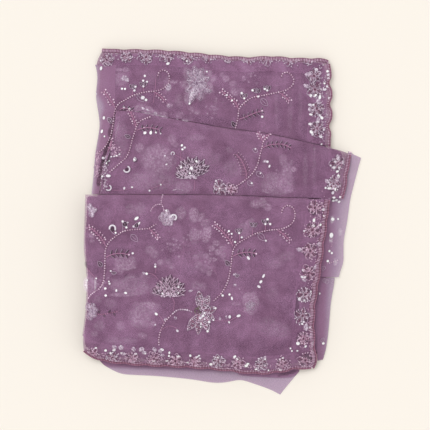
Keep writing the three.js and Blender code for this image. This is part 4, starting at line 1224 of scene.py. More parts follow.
BACK_GLINTS = [
    (122.2, 89, 3), (125.2, 89.2, 2.8), (135.6, 87, 3.2, 30, 0.8), (134.6, 90.8, 3), (143, 98, 5, 20, 0.9),
    (146.2, 100.2, 3.4), (145, 76.2, 3), (143.4, 81, 3), (147.2, 82, 2.6), (124.2, 108.2, 3.2),
    (129.6, 109.4, 3.2), (168, 64.2, 3.4, 30, 0.7), (241.6, 93.4, 3), (252.4, 90.6, 3), (258, 96.8, 2.6),
    (264.6, 89.2, 3.4, 0, 0.8), (226.8, 95.4, 2.6), (262, 117, 3), (232, 100.6, 2.4),
]
MIDDLE_GLINTS = [
    (145.2, 133.2, 4.4, 30, 0.8), (151, 133, 4.8, 80, 0.7), (156.2, 132.8, 2.6, 110, 0.8), (160.9, 134, 1.8),
    (134.4, 159.6, 3, 90, 0.8), (182, 145.6, 3.4, 60, 0.8), (184.8, 147.8, 3, 0, 0.9),
    (182.6, 149.6, 3, 0, 0.9), (267.2, 162, 3.2), (269.2, 166.4, 4, 70, 0.6), (255.2, 149.2, 2.2),
    (260.3, 173.4, 2), (251.5, 183.3, 2.6, 0, 0.8), (216, 181, 3, 60, 0.8), (219.6, 188.6, 2.6),
    (108.8, 176, 6.2, 0, 0.6), (103.2, 176.6, 3), (124.6, 188.4, 3.8, 70, 0.7), (132.4, 187.4, 3, 0, 0.8),
    (149.8, 190.8, 2.4), (161, 184.8, 2), (165, 156, 2.8, 30, 0.7), (166.6, 164.6, 3, 30, 0.6),
    (108.6, 161.8, 2.6, 30, 0.5), (144.4, 128, 1.8),
]
for needle, glints in ((front, FRONT_GLINTS), (back, BACK_GLINTS), (middle, MIDDLE_GLINTS)):
    for across, down, *shape in glints:
        needle.sequin((across, down), *shape)

# %% The middle stack's cut vine and stalks
spine = [(246, 178.4), (246, 172.4), (243.6, 165.5), (240.6, 159.6), (236.2, 154.7)]
middle.stitch(spine, 0.9, "stem", 1.2, 0.5)
for k, at in enumerate(drawn(spine, 3.2)[1:]):
    for way in (172, 58):
        reach = 5.4 - 0.3 * k
        tip = moved(at, reach, way)
        middle.petal(at, reach * 1.2, 1.9, way, "satin", 0.6, 0.1)
        middle.stitch([at, tip], 0.6, "stem", 1.4, 0.6)
        middle.bead(tip, 1.3, "pale", 0.4, 0.5)
middle.stitch([(194.6, 180.5), (195, 186), (193.6, 191.5)], 0.6)
middle.stitch([(182.4, 166), (181, 158), (181.4, 150)], 0.55)
middle.stitch([(184.6, 160), (178, 156.5), (173.5, 154.4)], 0.45)
middle.stitch([(151, 189), (161, 184.8), (165, 179.3)], 0.5)
middle.stitch([(110, 190), (122, 190.6), (134, 187.6)], 0.5)
middle.row([(294.2, 138.2), (296.9, 139.2)], 2.8, 1.7)
middle.row([(172.5, 190.5), (178, 189.4), (184, 190.6)], 1.5, 1.4, "silver")
for at in ((111.8, 157), (114.6, 156.6), (117, 156), (119.8, 154.4), (107.2, 163.4), (109.6, 161.2)):
    middle.sequin(at, 2.6, 20, 0.7)
fern(middle, upright, [(108.5, -151.5), (111.5, -145), (112, -139)], 3)
middle.outline_leaf((131, 138), 8, 4.6, 158)
middle.outline_leaf((257.6, 152), 7, 4.6, 155, False)
middle.outline_leaf((256, 172), 11, 6, -35, False)
middle.outline_leaf((247, 181.5), 9, 5, -35, False)
middle.petal((262, 162), 6, 4.2, 10, "film", 0.5, 0.4)
middle.petal((138, 160), 6, 4.2, 200, "satin", 0.6, 0.3)
ring(middle, (127, 169.4), 3, -170, 80, 1.9)
middle.petal((126, 171), 4.4, 3.8, 50, "satin", 0.2, 0.3)
ring(middle, (109, 188), 2.6, -140, 80, 1.7)
ring(middle, (172.9, 153.8), 1.6, -60, 240, 1.1)
ring(middle, (134.4, 159.4), 1.9, -120, 100, 1)

# %% [markdown]
# ## The same work on the plies below
# The plies under the top one carry the same vines and flowers. Net is open, so they show through
# as soft pale patches, some sharper than others. Darker patches paint the shade of the folds between the
# plies.
# They are thin patches of tone in the gap between the top ply and the pile, with threads and
# beads of the lower vines among them.

# %% Patches of pale work and of painted fold shade: across, down, width, height, tone, and turn where there is one
BELOW = {
    "front": [
        (131, 209, 10, 10, 0.35), (141, 209, 10, 13, 0.4), (181, 213, 10, 12, 0.6),
        (194, 215, 10, 14, 0.8), (194.5, 236, 10, 15, 0.85), (206.5, 234, 9, 16, 0.95, -10),
        (210, 231.5, 3, 3, 0.9), (151, 250, 11, 9, 0.5), (155, 254, 8, 8, 0.5), (161, 262, 7, 6, 0.6),
        (168, 261, 6, 6, 0.45), (172, 266, 6, 6, 0.45), (126, 264, 20, 12, 0.9, 4), (120, 268, 8, 7, 0.6),
        (132, 259, 7, 6, 0.6), (118, 285, 14, 16, 0.45), (131, 284, 20, 18, 0.55),
        (141, 287, 16, 14, 0.5), (126, 294, 30, 4, 0.7, 2), (118, 294, 12, 3, 0.5),
        (92.5, 235, 6, 6, 0.8), (93, 241, 5, 4, 0.4), (150, 305, 20, 8, 0.75, -5),
        (141, 316, 22, 22, 0.55), (137, 305, 9, 8, 0.3), (121, 325, 9, 9, 0.4), (100, 325, 11, 10, 0.4),
        (95, 333, 7, 6, 0.4), (143, 335, 9, 6, 0.6, -20), (153, 323, 7, 6, 0.75), (154, 310, 7, 7, 0.5),
        (90.5, 284, 13, 16, 0.6), (111, 303, 12, 10, 0.25), (196, 257, 6, 6, 0.5), (201, 254, 6, 6, 0.5),
        (206, 256, 6, 6, 0.5), (210, 259, 5, 5, 0.45), (199, 265, 8, 8, 0.5), (205, 268, 10, 8, 0.55),
        (209, 273, 6, 6, 0.5), (216, 243, 7, 6, 0.7), (212, 248, 6.5, 6, 0.7), (218, 252, 7, 7, 0.65),
        (222, 248, 7, 5, 0.5), (223, 255, 6, 6, 0.5), (242, 228, 8, 9, 0.7, -20),
        (249, 226, 9, 12, 0.65, 10), (251, 221, 6, 6, 0.5), (245, 235, 10, 7, 0.4),
        (256, 204, 12, 8, 0.7), (262, 203, 9, 8, 0.6), (267, 207, 9, 7, 0.65, -30),
        (286, 256, 15, 9, 0.3), (274, 262, 18, 12, 0.25), (281, 330, 18, 14, 0.25),
        (269, 326, 22, 18, 0.25), (272, 294, 12, 12, 0.2), (247, 299, 9, 14, 0.7, -10),
        (254, 300, 9, 16, 0.7, 8), (250, 309, 12, 10, 0.65), (236, 303, 9, 4, 0.5),
        (158, 291, 14, 10, 0.5), (154, 288, 8, 8, 0.4), (196, 285, 9, 9, 0.4), (203, 286, 8, 8, 0.35),
        (145, 276, 12, 8, 0.3), (98, 300, 8, 10, 0.3), (122, 340, 30, 7, 0.3),
    ],
    "back": [
        (120, 79, 17, 13, 0.55), (120, 70, 12, 3, 0.7), (126, 70, 7, 5, 0.6), (113.5, 85, 4, 6, 0.5),
        (139, 108, 12, 7, 0.6, 15), (147, 110, 12, 8, 0.85, -10), (154, 113, 12, 6, 0.8, -20),
        (164, 115, 9, 6, 0.8, -30), (187, 73, 8, 13, 0.6), (196, 69, 9, 14, 0.7), (207, 73, 9, 12, 0.65),
        (212, 79, 10, 7, 0.6, 20), (208, 88, 10, 13, 0.75, 20), (200, 95, 9, 14, 0.75),
        (189, 96, 9, 17, 1, -8), (187, 85, 12, 9, 0.7), (197, 80, 14, 12, 0.8), (168, 85, 8, 16, 0.55),
        (170, 106, 6, 6, 0.8), (179, 101, 8, 14, 0.35), (180, 115, 9, 7, 0.5), (186, 119, 6, 6, 0.55),
        (191, 118, 6, 6, 0.6), (197, 112, 6, 6, 0.6), (191, 109, 6, 5, 0.45), (226, 79, 7, 6, 0.7),
        (233, 84, 7, 7, 0.6), (235, 92, 9, 8, 0.8), (241, 91, 6, 6, 0.6), (222, 75, 5, 5, 0.4),
        (277, 105, 5, 44, 0.22), (290, 112, 5, 40, 0.22), (300, 104, 4, 40, 0.18),
        (152, 79, 20, 12, 0.15),
    ],
    "middle": [
        (158, 160, 32, 28, 0.6), (155, 158, 18, 14, 0.6), (166, 163, 12, 10, 0.5),
        (150, 165, 12, 10, 0.5), (172, 139, 8, 8, 0.5), (175, 144, 9, 6, 0.5, -30), (140, 148, 9, 9, 0.7),
        (196, 138, 18, 6, 0.3), (217, 158, 7, 7, 0.5), (229, 150, 7, 6, 0.3), (232, 169, 18, 16, 0.35),
        (283, 160, 8, 12, 0.5), (287, 171, 11, 16, 0.5), (277, 184, 30, 22, 0.6), (272, 178, 12, 10, 0.5),
        (284, 180, 12, 12, 0.5), (183, 187, 18, 13, 0.55), (152, 181, 44, 18, 0.4),
        (139, 178, 14, 12, 0.3), (116, 155, 12, 3, 0.6, -20), (108, 158, 6, 4, 0.5, -30),
        (205, 160, 30, 20, 0.2), (122, 140, 12, 34, 0.25), (305, 170, 5, 34, 0.25),
        (314, 168, 4, 36, 0.2),
    ],
}
# Painted shade: dark patches where the folds between the plies are in shade.
FOLD_SHADE = {
    "front": [
        (121, 251, 18, 7, 0.6), (98, 259, 10, 13, 0.5, -30), (190, 270, 22, 12, 0.4), (221, 285, 10, 7, 0.8),
        (190, 303, 18, 6, 0.6), (255, 285, 20, 16, 0.35), (238, 281, 12, 9, 0.4), (105, 308, 20, 5, 0.6, -28),
        (302, 303, 7, 8, 0.6), (92, 267, 14, 7, 0.5, -40), (172, 305, 14, 12, 0.35),
        (266, 350, 16, 8, 0.45, 18), (278, 346, 16, 8, 0.45, 18), (288, 342, 10, 8, 0.3, 18),
        (262, 256, 16, 30, 0.2), (240, 345, 50, 8, 0.3), (126, 276, 30, 6, 0.4), (170, 250, 16, 24, 0.25),
        (145, 235, 20, 10, 0.25), (292, 300, 12, 40, 0.25),
    ],
    "back": [
        (215, 121, 60, 7, 0.5, -8), (250, 118, 24, 9, 0.4), (305, 75, 8, 20, 0.5), (112, 78, 5, 24, 0.5),
        (150, 98, 30, 6, 0.3), (280, 112, 5, 46, 0.3), (296, 112, 4, 44, 0.3), (304, 128, 8, 18, 0.45),
        (175, 110, 14, 8, 0.3),
    ],
    "middle": [
        (109, 150, 5, 30, 0.6), (103, 172, 5, 24, 0.6), (184, 155, 8, 20, 0.3), (258, 176, 10, 12, 0.4),
        (212, 176, 30, 16, 0.3), (290, 151, 14, 8, 0.35, -8), (303, 149, 13, 8, 0.35, -8),
        (294, 172, 4, 34, 0.3), (250, 190, 24, 6, 0.3),
    ],
}
HAZE_SPREAD, FOLD_SPREAD, FOLD_SHADE_DEPTH = 1.25, 1.3, 1.35  # how far the blur reaches, how dark the painted shade of a fold is
below = {}
for index, (name, stack) in enumerate((("front", FRONT), ("back", BACK), ("middle", MIDDLE))):
    needle = below[name] = Needle(name + "_work_below", 51 + index, stack)
    for across, down, width, height, *rest in BELOW[name]:
        needle.patch((across, down), width * HAZE_SPREAD, height * HAZE_SPREAD, *rest)
    for across, down, width, height, tone, *turn in FOLD_SHADE[name]:
        depth = min(1, tone * FOLD_SHADE_DEPTH)
        needle.patch((across, down), width * FOLD_SPREAD, height * FOLD_SPREAD, depth, *turn, finish="shade")

# %% Whole flowers of the lower plies, petal by petal


def hazy_flower(needle, centre, reach, angles, size, tone):
    for angle in angles:
        needle.patch(moved(centre, reach, angle), *size, tone * needle.chance.uniform(0.75, 1.1), angle)


hazy_flower(below["middle"], (158, 159), 9, range(0, 360, 45), (14, 8), 0.9)
hazy_flower(below["middle"], (277, 193), 10, range(10, 180, 20), (15, 5), 0.9)
hazy_flower(below["middle"], (289, 167), 5, (150, 60, 20, -30, -80, 220), (7, 6), 0.9)
hazy_flower(below["front"], (196, 226), 10, (100, 60, 20, -60, -100), (12, 8), 0.8)
hazy_flower(below["front"], (124, 264), 6, range(0, 180, 36), (10, 6), 0.8)
hazy_flower(below["back"], (197, 84), 11, range(20, 360, 40), (16, 8), 0.35)
FAN, FAN_ANGLES = (277, 194), range(12, 165, 19)
for angle in FAN_ANGLES:
    below["middle"].stitch([moved(FAN, 3, angle), moved(FAN, 15, angle)], 0.6, "outline", 1.2, -0.6)

# %% Threads and beads of the lower vines
LOWER_LINES = {
    "front": [
        [(103, 216), (105, 208), (110, 203.5), (115, 206.5), (116.5, 213)],
        [(115.5, 213), (113, 220), (107, 226)], [(183.5, 242), (184, 252), (181.5, 264), (180.5, 275)],
        [(222, 204), (217, 213), (208, 220), (196, 224)], [(183.5, 246), (190, 243), (198, 240), (210, 238)],
        [(214, 270), (218, 278), (219, 290)], [(208, 262), (213, 268), (217, 274)],
        [(240, 309), (246, 314), (252, 316)],
    ],
    "back": [
        [(212, 77), (222, 70), (232, 67), (241, 66)], [(143, 73), (148, 70.5), (153, 67), (158, 66)],
        [(155.5, 78), (155, 88), (153.5, 98), (153, 104)], [(198, 96), (197, 104), (196, 112)],
    ],
    "middle": [
        [(197, 177), (205, 180), (212, 186)], [(244, 172), (245, 180), (246, 188)],
    ],
}
for name, lines in LOWER_LINES.items():
    for line in lines:
        below[name].stitch(line, 0.55, "stem", 1.2, -0.6)
LOWER_BEADS = [  # needle, across, down, spread across and down, count
    ("front", 176, 244, 6, 5.5, 34), ("front", 212, 262, 5, 6, 20), ("front", 100, 282, 7, 4, 12),
    ("front", 247, 303, 4, 6, 14), ("front", 124, 264, 7, 4, 16), ("back", 214, 107, 4.5, 6.5, 26),
    ("back", 252, 74, 7, 5.5, 26), ("back", 186, 118, 8, 4, 26), ("middle", 158, 160, 8, 7, 20),
    ("middle", 277, 184, 8, 6, 16), ("back", 178, 82, 6, 1.2, 9),
]
for name, across, down, wide, high, count in LOWER_BEADS:
    needle = below[name]
    for _ in range(count):
        spot = (across + needle.chance.normal(0, wide), down + needle.chance.normal(0, high))
        needle.patch(spot, needle.chance.uniform(2.2, 3.4), 0, needle.chance.uniform(0.3, 0.9))
SHADED = {  # random dark patches that darken and mottle the fields: left, top, right, bottom, how many
    "front": (130, 205, 300, 345, 60), "middle": (215, 150, 305, 185, 12), "back": (150, 66, 300, 112, 16),
}
for name, (left, top, right, bottom, count) in SHADED.items():
    needle = below[name]
    for _ in range(count):
        spot = (needle.chance.uniform(left, right), needle.chance.uniform(top, bottom))
        needle.patch(spot, needle.chance.uniform(10, 17), 0, needle.chance.uniform(0.1, 0.38), finish="shade")
for needle in below.values():
    needle.sew("bead_motif")

# %% [markdown]
# ## The border flowers
# Along both cut edges runs a border with one flower to each scallop. A flower is five loops of
# fine beads with short bead spikes between them, on dark satin, so the gaps inside the loops read
# dark. Clear petals and bright sequins stand between the flowers. The loops are rows of beads that
# touch, which gives the line its grain at any distance.

# %% A border flower


def border_flower(needle, centre, radius, turn, finish, glow=1):
    """Five crowded loops of beads with spikes between them, all a little uneven. The radius is in
    squares, and glow is how pale its beads are."""
    chance = needle.chance
    for angle in range(0, 360, 60):
        needle.petal(centre, radius * 1.02, radius * 0.85, turn + angle, "satin", 0.9, 0.2)
    for k in range(5):
        angle = turn + 72 * k + chance.uniform(-15, 15)
        size, shade = radius * chance.uniform(0.72, 1.08), glow * chance.uniform(0.45, 1)
        place = chart_frame(centre, 1, angle)
        half = size * chance.uniform(0.22, 0.34)
        loop = [
            (0.2, 0), (0.45, 0.8), (0.72, 1), (0.97, 0.35), (0.97, -0.35), (0.72, -1), (0.45, -0.8), (0.2, 0),
        ]
        uneven = [
            (x * size + chance.uniform(-0.45, 0.45), y * half + chance.uniform(-0.45, 0.45)) for x, y in loop
        ]
        line = [place(*p) for p in uneven]
        for at in drawn(line, 1.15):
            if chance.random() < 0.78:
                needle.bead(at, chance.choice([1.1, 1.3, 1.55]), finish, shade * chance.uniform(0.2, 1), 0.45)
        for off in (-0.35, 0.3):
            end = place(size * chance.uniform(0.6, 0.86), off * 1.3 * half)
            for at in drawn([place(0.34 * size, off * half), end], 1.3):
                needle.bead(at, 1.15, "rose", glow * chance.uniform(0.3, 1), 0.5)
        for spread in (24, 38, 52):
            spike = chart_frame(centre, 1, angle + spread + chance.uniform(-8, 8))
            reach = size * chance.uniform(0.5, 1)
            for at in drawn([spike(0.25 * size, 0), spike(reach, 0)], 1.3):
                needle.bead(at, 1.2, finish, shade * chance.uniform(0.2, 0.9), 0.5)
            needle.bead(spike(reach, 0), 1.55, finish, min(1, shade + 0.2), 0.5)
    for k in range(6):
        needle.bead(moved(centre, 1.3, -turn - 60 * k), 1.3, "rose", None, 0.6)


def strew(needle, path, width, count, finish="pale"):
    """Loose beads along a border, thicker near its middle line."""
    line = drawn(path, 0.5)
    for _ in range(count):
        across, down = line[needle.chance.integers(len(line))]
        spot = (across + needle.chance.normal(0, width / 2), down + needle.chance.normal(0, width / 2))
        needle.bead(spot, needle.chance.choice([1.2, 1.4, 1.7]), finish, needle.chance.uniform(0, 0.55))


FRONT_FLOWERS = [  # across, down, radius, turn
    (314, 208, 9, 20), (311.5, 230, 9.4, 64), (309.5, 250.5, 9.4, 35), (308.3, 272.5, 9, 50),
    (304.6, 294, 9, 30), (302.2, 315.5, 9, 80), (302.6, 338, 9, 55), (304.6, 359.4, 8.6, 12),
    (93.2, 352.6, 6.6, 40), (112.8, 356.8, 7.2, 0), (132.6, 357.4, 7.2, 30), (154, 357.6, 7.2, 50),
    (175.6, 360, 7.4, 8), (195, 360.6, 7.4, 44), (218, 360.4, 7.8, 20), (237.6, 362.4, 7.6, 66),
    (261, 363.2, 7.8, 30), (281.6, 363, 7.6, 10),
]
MIDDLE_FLOWERS = [(337.2, 163.4, 8.8, 40), (333, 184.6, 9.2, 75)]
BACK_FLOWERS = [
    (313.8, 76.2, 8.6, 30), (314.6, 89.8, 8.8, 60), (316.4, 109, 8.4, 20), (316.8, 128.6, 8.4, 50),
    (107.4, 60.4, 7.8, 50), (126.4, 57, 7.4, 20), (146.2, 57.6, 8, 45), (167.4, 56.4, 7.6, 10),
    (187.6, 57.2, 7.8, 30), (208.6, 57.6, 7.6, 60), (229, 58.2, 7.4, 36), (247.6, 59, 7.4, 0),
    (268, 58.6, 7.8, 50), (290.4, 60, 7.4, 22), (309.6, 59.6, 7.4, 70),
]
front_border = Needle("front_border_beads", 31)
middle_border = Needle("middle_border_beads", 32)
back_border = Needle("back_border_beads", 33)
FLOWERS = {front_border: FRONT_FLOWERS, middle_border: MIDDLE_FLOWERS, back_border: BACK_FLOWERS}
for needle, flowers in FLOWERS.items():
    for across, down, radius, turn in flowers:
        glow, kinds = (0.48, ["silver"]) if needle is back_border else (0.8, ["pale", "pale", "silver"])
        border_flower(needle, (across, down), radius, turn, needle.chance.choice(kinds), glow)
strew(front_border, [(318, 198), (316, 240), (312, 285), (308, 325), (310, 355)], 6, 190)
strew(front_border, [(90, 350), (110, 357), (150, 360), (200, 363), (250, 366), (290, 364)], 3.6, 240)
strew(middle_border, [(340, 156), (338, 175), (332, 190)], 5, 60)
for k in range(18):
    middle_border.bead((331.5 + 1.5 * k, 148.2 + 0.36 * k), 1.9, "pale", None, 0.3)
strew(back_border, [(320, 66), (322, 90), (323, 120), (321, 140)], 5, 110, "silver")
strew(back_border, [(104, 57), (150, 56), (200, 58), (250, 60), (300, 61)], 4, 260, "silver")
border_flower(middle, (219.5, 188.5), 8.4, 20, "silver")
border_flower(middle, (231, 189.5), 6.8, 50, "pale")

# %% Clear petals and bright sequins of the borders
CLEAR_PETALS = {  # across, down, length, width, turn
    front_border: [
        (115.5, 348.6, 5.5, 4.6, 100), (120.6, 349, 6, 4.8, 70), (120.4, 352.4, 5.6, 4.4, -10),
        (134.6, 351, 6.2, 4.2, 96), (140, 350.6, 6.4, 5, 55), (142, 352, 5.2, 4.2, 5),
        (155.6, 351.2, 6, 4.2, 104), (158.6, 351.4, 6.2, 4.6, 40), (159.6, 353.8, 5, 4, -8),
        (305.6, 330.6, 7, 5.4, 90), (309.6, 339.4, 7, 3.2, 80), (311, 347.2, 7.4, 3.4, 74),
        (305.2, 281.4, 6, 4, 130), (313.8, 269.6, 5.6, 3.6, 70), (130, 361.6, 7, 3.4, 25),
        (302, 250, 6, 4, 170), (316.6, 246, 6, 4.2, 40), (262.8, 358.6, 5, 3.4, 60),
        (330.8, 199.6, 5.4, 3.8, 150),
    ],
    middle_border: [
        (337.2, 160.4, 5.4, 4.4, 90), (329.6, 183, 6, 4, 150), (335.6, 181.4, 6.4, 4, 60),
    ],
    back_border: [
        (309.4, 88.2, 6.4, 4, 150), (317.8, 104.6, 5.6, 4, 85), (312.6, 75.2, 7.4, 4.4, 175),
        (318, 122.8, 5, 4, 90), (310.8, 112.4, 5, 4, 110),
    ],
}
for needle, petals in CLEAR_PETALS.items():
    for across, down, length, width, turn in petals:
        tone = needle.chance.uniform(0.6, 1)
        needle.petal((across, down), length * 1.35, width * 1.35, turn, "film", tone, 0.6)

FRONT_BORDER_GLINTS = [  # across, down, size, turn, narrowness
    (322.6, 209.4, 4.2, 0, 0.9), (325.8, 208.9, 3), (322.8, 215.6, 3.2, -20, 0.7),
    (313, 220.2, 5, 80, 0.75), (312.4, 225.8, 4.6, 160, 0.7), (319.5, 224.8, 3.8, 40, 0.8),
    (323, 226.3, 3.2), (303.4, 230.8, 2.4), (302, 269.7, 3), (301.2, 276.6, 4.2, -20, 0.7),
    (304, 276.8, 4, 25, 0.7), (298.7, 298.6, 4.8, -30, 0.9), (303.2, 299.6, 2.6),
    (309.8, 291.2, 2.6, 60, 0.8), (302.6, 321.4, 2.8), (301.2, 323.2, 3, 0, 0.9), (309.1, 326.9, 3),
    (297.1, 342.6, 5, 0, 0.9), (304.7, 345.7, 3.8, 30, 0.7), (308.3, 357.4, 3.8, -50, 0.7),
    (96.5, 346.6, 3.8, 30, 0.6), (106.2, 349.2, 4.4, 60, 0.75), (114.6, 348.8, 4.8, 20, 0.6),
    (111.1, 351.9, 3.2), (121.8, 351.6, 2.6), (121.6, 344.8, 2.6, 30, 0.8), (136.1, 352.5, 4, 0, 0.9),
    (145.6, 352.2, 2.6, 90, 0.7), (162.5, 348.5, 4.6, -30, 0.6), (153.9, 359.7, 4.4, 0, 0.9),
    (169.6, 351.4, 4.4, 85, 0.55), (169.2, 354.6, 3.6, 80, 0.7), (178.6, 355.3, 5, 0, 0.85),
    (167.2, 359.6, 4.2, 30, 0.7), (190.4, 354.4, 4, 85, 0.75), (196.8, 355.8, 4.4, 25, 0.6),
    (199, 354.4, 3.2, 40, 0.8), (200, 357.2, 3.2, -45, 0.8), (187.7, 361.3, 3.4),
    (211, 363.1, 5.2, 80, 0.8), (217.7, 356.2, 3), (234.6, 355.6, 4.4, 40, 0.7),
    (237.2, 357.6, 4, -50, 0.6), (246.2, 364.6, 5.4, 50, 0.8), (247.8, 362.6, 3.8, 0, 0.8),
    (236.7, 370, 4.4, 90, 0.9), (264.9, 357.9, 3.2, 80, 0.6), (255.9, 368.2, 3.4, 0, 0.9),
    (268.3, 369.2, 2.2), (279.5, 358, 3, 60, 0.8), (282.4, 356.7, 2.8), (280.3, 369.2, 4.2, -30, 0.8),
    (290, 347.4, 2.2), (291.4, 350, 2.2), (296.6, 349.8, 2.8, 0, 0.7),
]
MIDDLE_BORDER_GLINTS = [
    (337.1, 158.7, 4.4, 60, 0.8), (334.4, 162, 3.2), (329.9, 165.7, 2.6), (333.4, 167.6, 5.4, 5, 0.6),
    (338.3, 167.8, 2.8), (336.7, 171.6, 4.8, 18, 0.65), (337.7, 176.2, 4.8, 110, 0.75),
    (344.4, 177.7, 3, 90, 0.8), (328.6, 188.3, 6, 5, 0.55), (324.9, 188, 2.8), (334.4, 189.3, 4.4, 100, 0.65),
    (332.1, 192.9, 4.2), (333.2, 197.6, 4.8, 0, 0.6), (339.4, 197, 2.8), (329, 184.6, 2.6, 40, 0.7),
]
BACK_BORDER_GLINTS = [
    (324.2, 89.6, 5, 5, 0.7), (326.7, 86.7, 3), (310.4, 95.8, 4.4, -20, 0.8),
    (315.1, 95.6, 4.4, 40, 0.65), (319.5, 97.4, 5.8, 85, 0.6), (328.6, 98.3, 3.2, 90, 0.8),
    (309.6, 105, 5, 0, 0.6), (313.2, 105.2, 3, 0, 0.9), (310.6, 114.6, 4.6, -10, 0.6),
    (319.4, 115.6, 4, -60, 0.8), (321.4, 118, 4.6, -50, 0.8), (310, 124.2, 5, 0, 0.7),
    (317.5, 122.2, 3.4, 0, 0.8), (311, 132.2, 4.8, -50, 0.8), (312.4, 134.6, 3.6, 30, 0.8),
    (323.4, 129.8, 3.2, 80, 0.8), (320.4, 136.7, 4.6, -30, 0.85), (321.1, 144.3, 2.6, 40, 0.8),
    (316, 70, 4.4, 0, 0.9), (168, 64, 4.6, 20, 0.7), (102, 68.4, 4.8, 80, 0.6), (186.9, 61.5, 2.6),
    (324, 83.6, 2.6), (101.4, 61, 2.4),
]
RIGHT_GLINTS = [
    (332.3, 219.2, 4.6, 0, 0.9), (337.7, 219, 2.4), (330.8, 235.2, 6.6, 80, 0.8), (328.8, 251, 3),
    (331.2, 253, 3), (327.2, 261, 3.6, 0, 0.9), (319.2, 293.4, 2.8, 60, 0.8), (322.7, 343.2, 4, 0, 0.8),
]
right_work = Needle("right_ply_beads", 34)
for needle, glints in (
    (front_border, FRONT_BORDER_GLINTS), (middle_border, MIDDLE_BORDER_GLINTS),
    (back_border, BACK_BORDER_GLINTS), (right_work, RIGHT_GLINTS),
):
    for across, down, *shape in glints:
        needle.sequin((across, down), *shape)
for needle, places in (
    (middle_border, [(333, 201), (336, 200.4), (338.6, 201.8)]),
    (back_border, [(327.2, 71.6), (327.8, 75), (328.2, 78.4)]),
):
    for place in places:
        needle.sequin(place, 3.8, 20, 0.8)
right_work.row([(327, 263.5), (330.5, 262.6), (334.5, 261.4), (338.5, 259.6)], 2.2, 1.6)
right_work.row([(331.5, 237.5), (331.8, 243), (330.4, 248)], 2.2, 1.3)
for across, down, turn in ((323.5, 278.4, -70), (327, 279.4, -100), (331, 279.6, -60), (324, 266, -110)):
    right_work.outline_leaf((across, down), 5.5, 4.4, turn, False)
right_work.outline_leaf((321, 342), 6, 4, 60, False)
left_work = Needle("left_ply_beads", 35, {"left_loose"})
for across, down, size, turn, aspect in [
    (104.5, 118, 4.4, 80, 0.8), (102.6, 131.6, 5, 70, 0.6), (103.8, 158.2, 4.2, -30, 0.8),
    (101.6, 68.6, 5.2, 75, 0.65), (105, 136.6, 2.2, 0, 1), (97.6, 94, 1.6, 0, 1),
]:
    left_work.sequin((across, down), size, turn, aspect)
left_work.outline_leaf((111.6, 121.6), 6.5, 4.6, 140)
SOFT_SPOTS = [  # needle, finish, size, tone, lift, narrowness, and each one's place and turn
    # The two left groups paint the shadow in the dark channel where the left loose ply meets the stacks.
    (left_work, "dusk", 15, 0.85, 0.3, 0.5, [
        (109.8, 143, 60), (107, 150, 58), (104.4, 157, 62), (102.6, 165, 72), (100.6, 173, 76),
        (99.4, 181, 80),
    ]),
    (left_work, "dusk", 14, 0.5, 0.3, 0.4, [(112, 122, 80), (110, 132, 80)]),
    # a darker patch over the folded corner at the hem
    (right_work, "dusk", 11, 0.3, 0.25, 0.42, [(281, 374.8, 18), (287, 373.8, 18), (293, 372.2, 18)]),
    # Painted light: pale patches that make a soft glow round the right ply's sequins and a lighter fold on
    # it.
    (right_work, "haze", 11, 0.35, 0.2, 0.6, [(332, 219.5, 80), (330.8, 239, 80)]),
    (right_work, "haze", 11, 0.3, 0.2, 0.6, [(335, 262, 80)]),
    (right_work, "haze", 11, 0.25, 0.2, 0.6, [(340, 232, 80)]),
]
for needle, finish, size, tone, lift, narrow, places in SOFT_SPOTS:
    for across, down, turn in places:
        needle.set_down("patch", finish, (across, down), size, turn, tone, lift, 0, narrow)
strew(left_work, [(98, 152), (97.5, 165), (97, 178)], 2.6, 130)
strew(middle, [(106, 162), (105, 175), (106, 190)], 3.4, 90, "silver")
strew(middle, [(110, 146), (117, 150), (116, 156)], 4, 60, "pale")
for needle in (front, middle, back):
    needle.sew("bead_motif")
for needle in FLOWERS:
    needle.sew("border_net")
for needle in (right_work, left_work):
    needle.sew("bead_motif")

# %% [markdown]
# ## The beaded edging
# The scallops are bound by a rose tape under two rows of beads, set side by side like blanket
# stitches: pale beads on the inside and rose ones on the outside. The CAD cord along each edge has
# the line. Its points that are joined by short edges form one ring each, and the rings' middles
# are the route.

# %% The edging's route and beads
EDGING_PITCH = 1.9


def cord_route(node, axis):
    """The middle of each ring of a CAD cord, in order."""
    made = wall_mesh(node)
    ring_of = {v: {v} for v in made.verts}
    for edge in made.edges:
        if edge.calc_length() < 2.7 * MM:
            a, b = ring_of[edge.verts[0]], ring_of[edge.verts[1]]
            if a is not b:
                a |= b
                for v in b:
                    ring_of[v] = a
    rings = {id(r): [v.co.copy() for v in r] for r in ring_of.values()}.values()
    made.free()
    middles = [sum(ring, Vector()) / len(ring) for ring in rings]
    return sorted(middles, key=lambda middle: middle[axis])


def clear_of_cloth(point, lift):
    """The point, raised to lie on the cloth where the cloth is a little above it."""
    place = CLOTH.ray_cast(Vector((point[0], point[1], ABOVE_ALL)), DOWN)[0]
    if place is not None and 0 < place.z + lift * MM - point[2] < 3.0 * MM:
        return np.array((point[0], point[1], place.z + lift * MM))
    return point


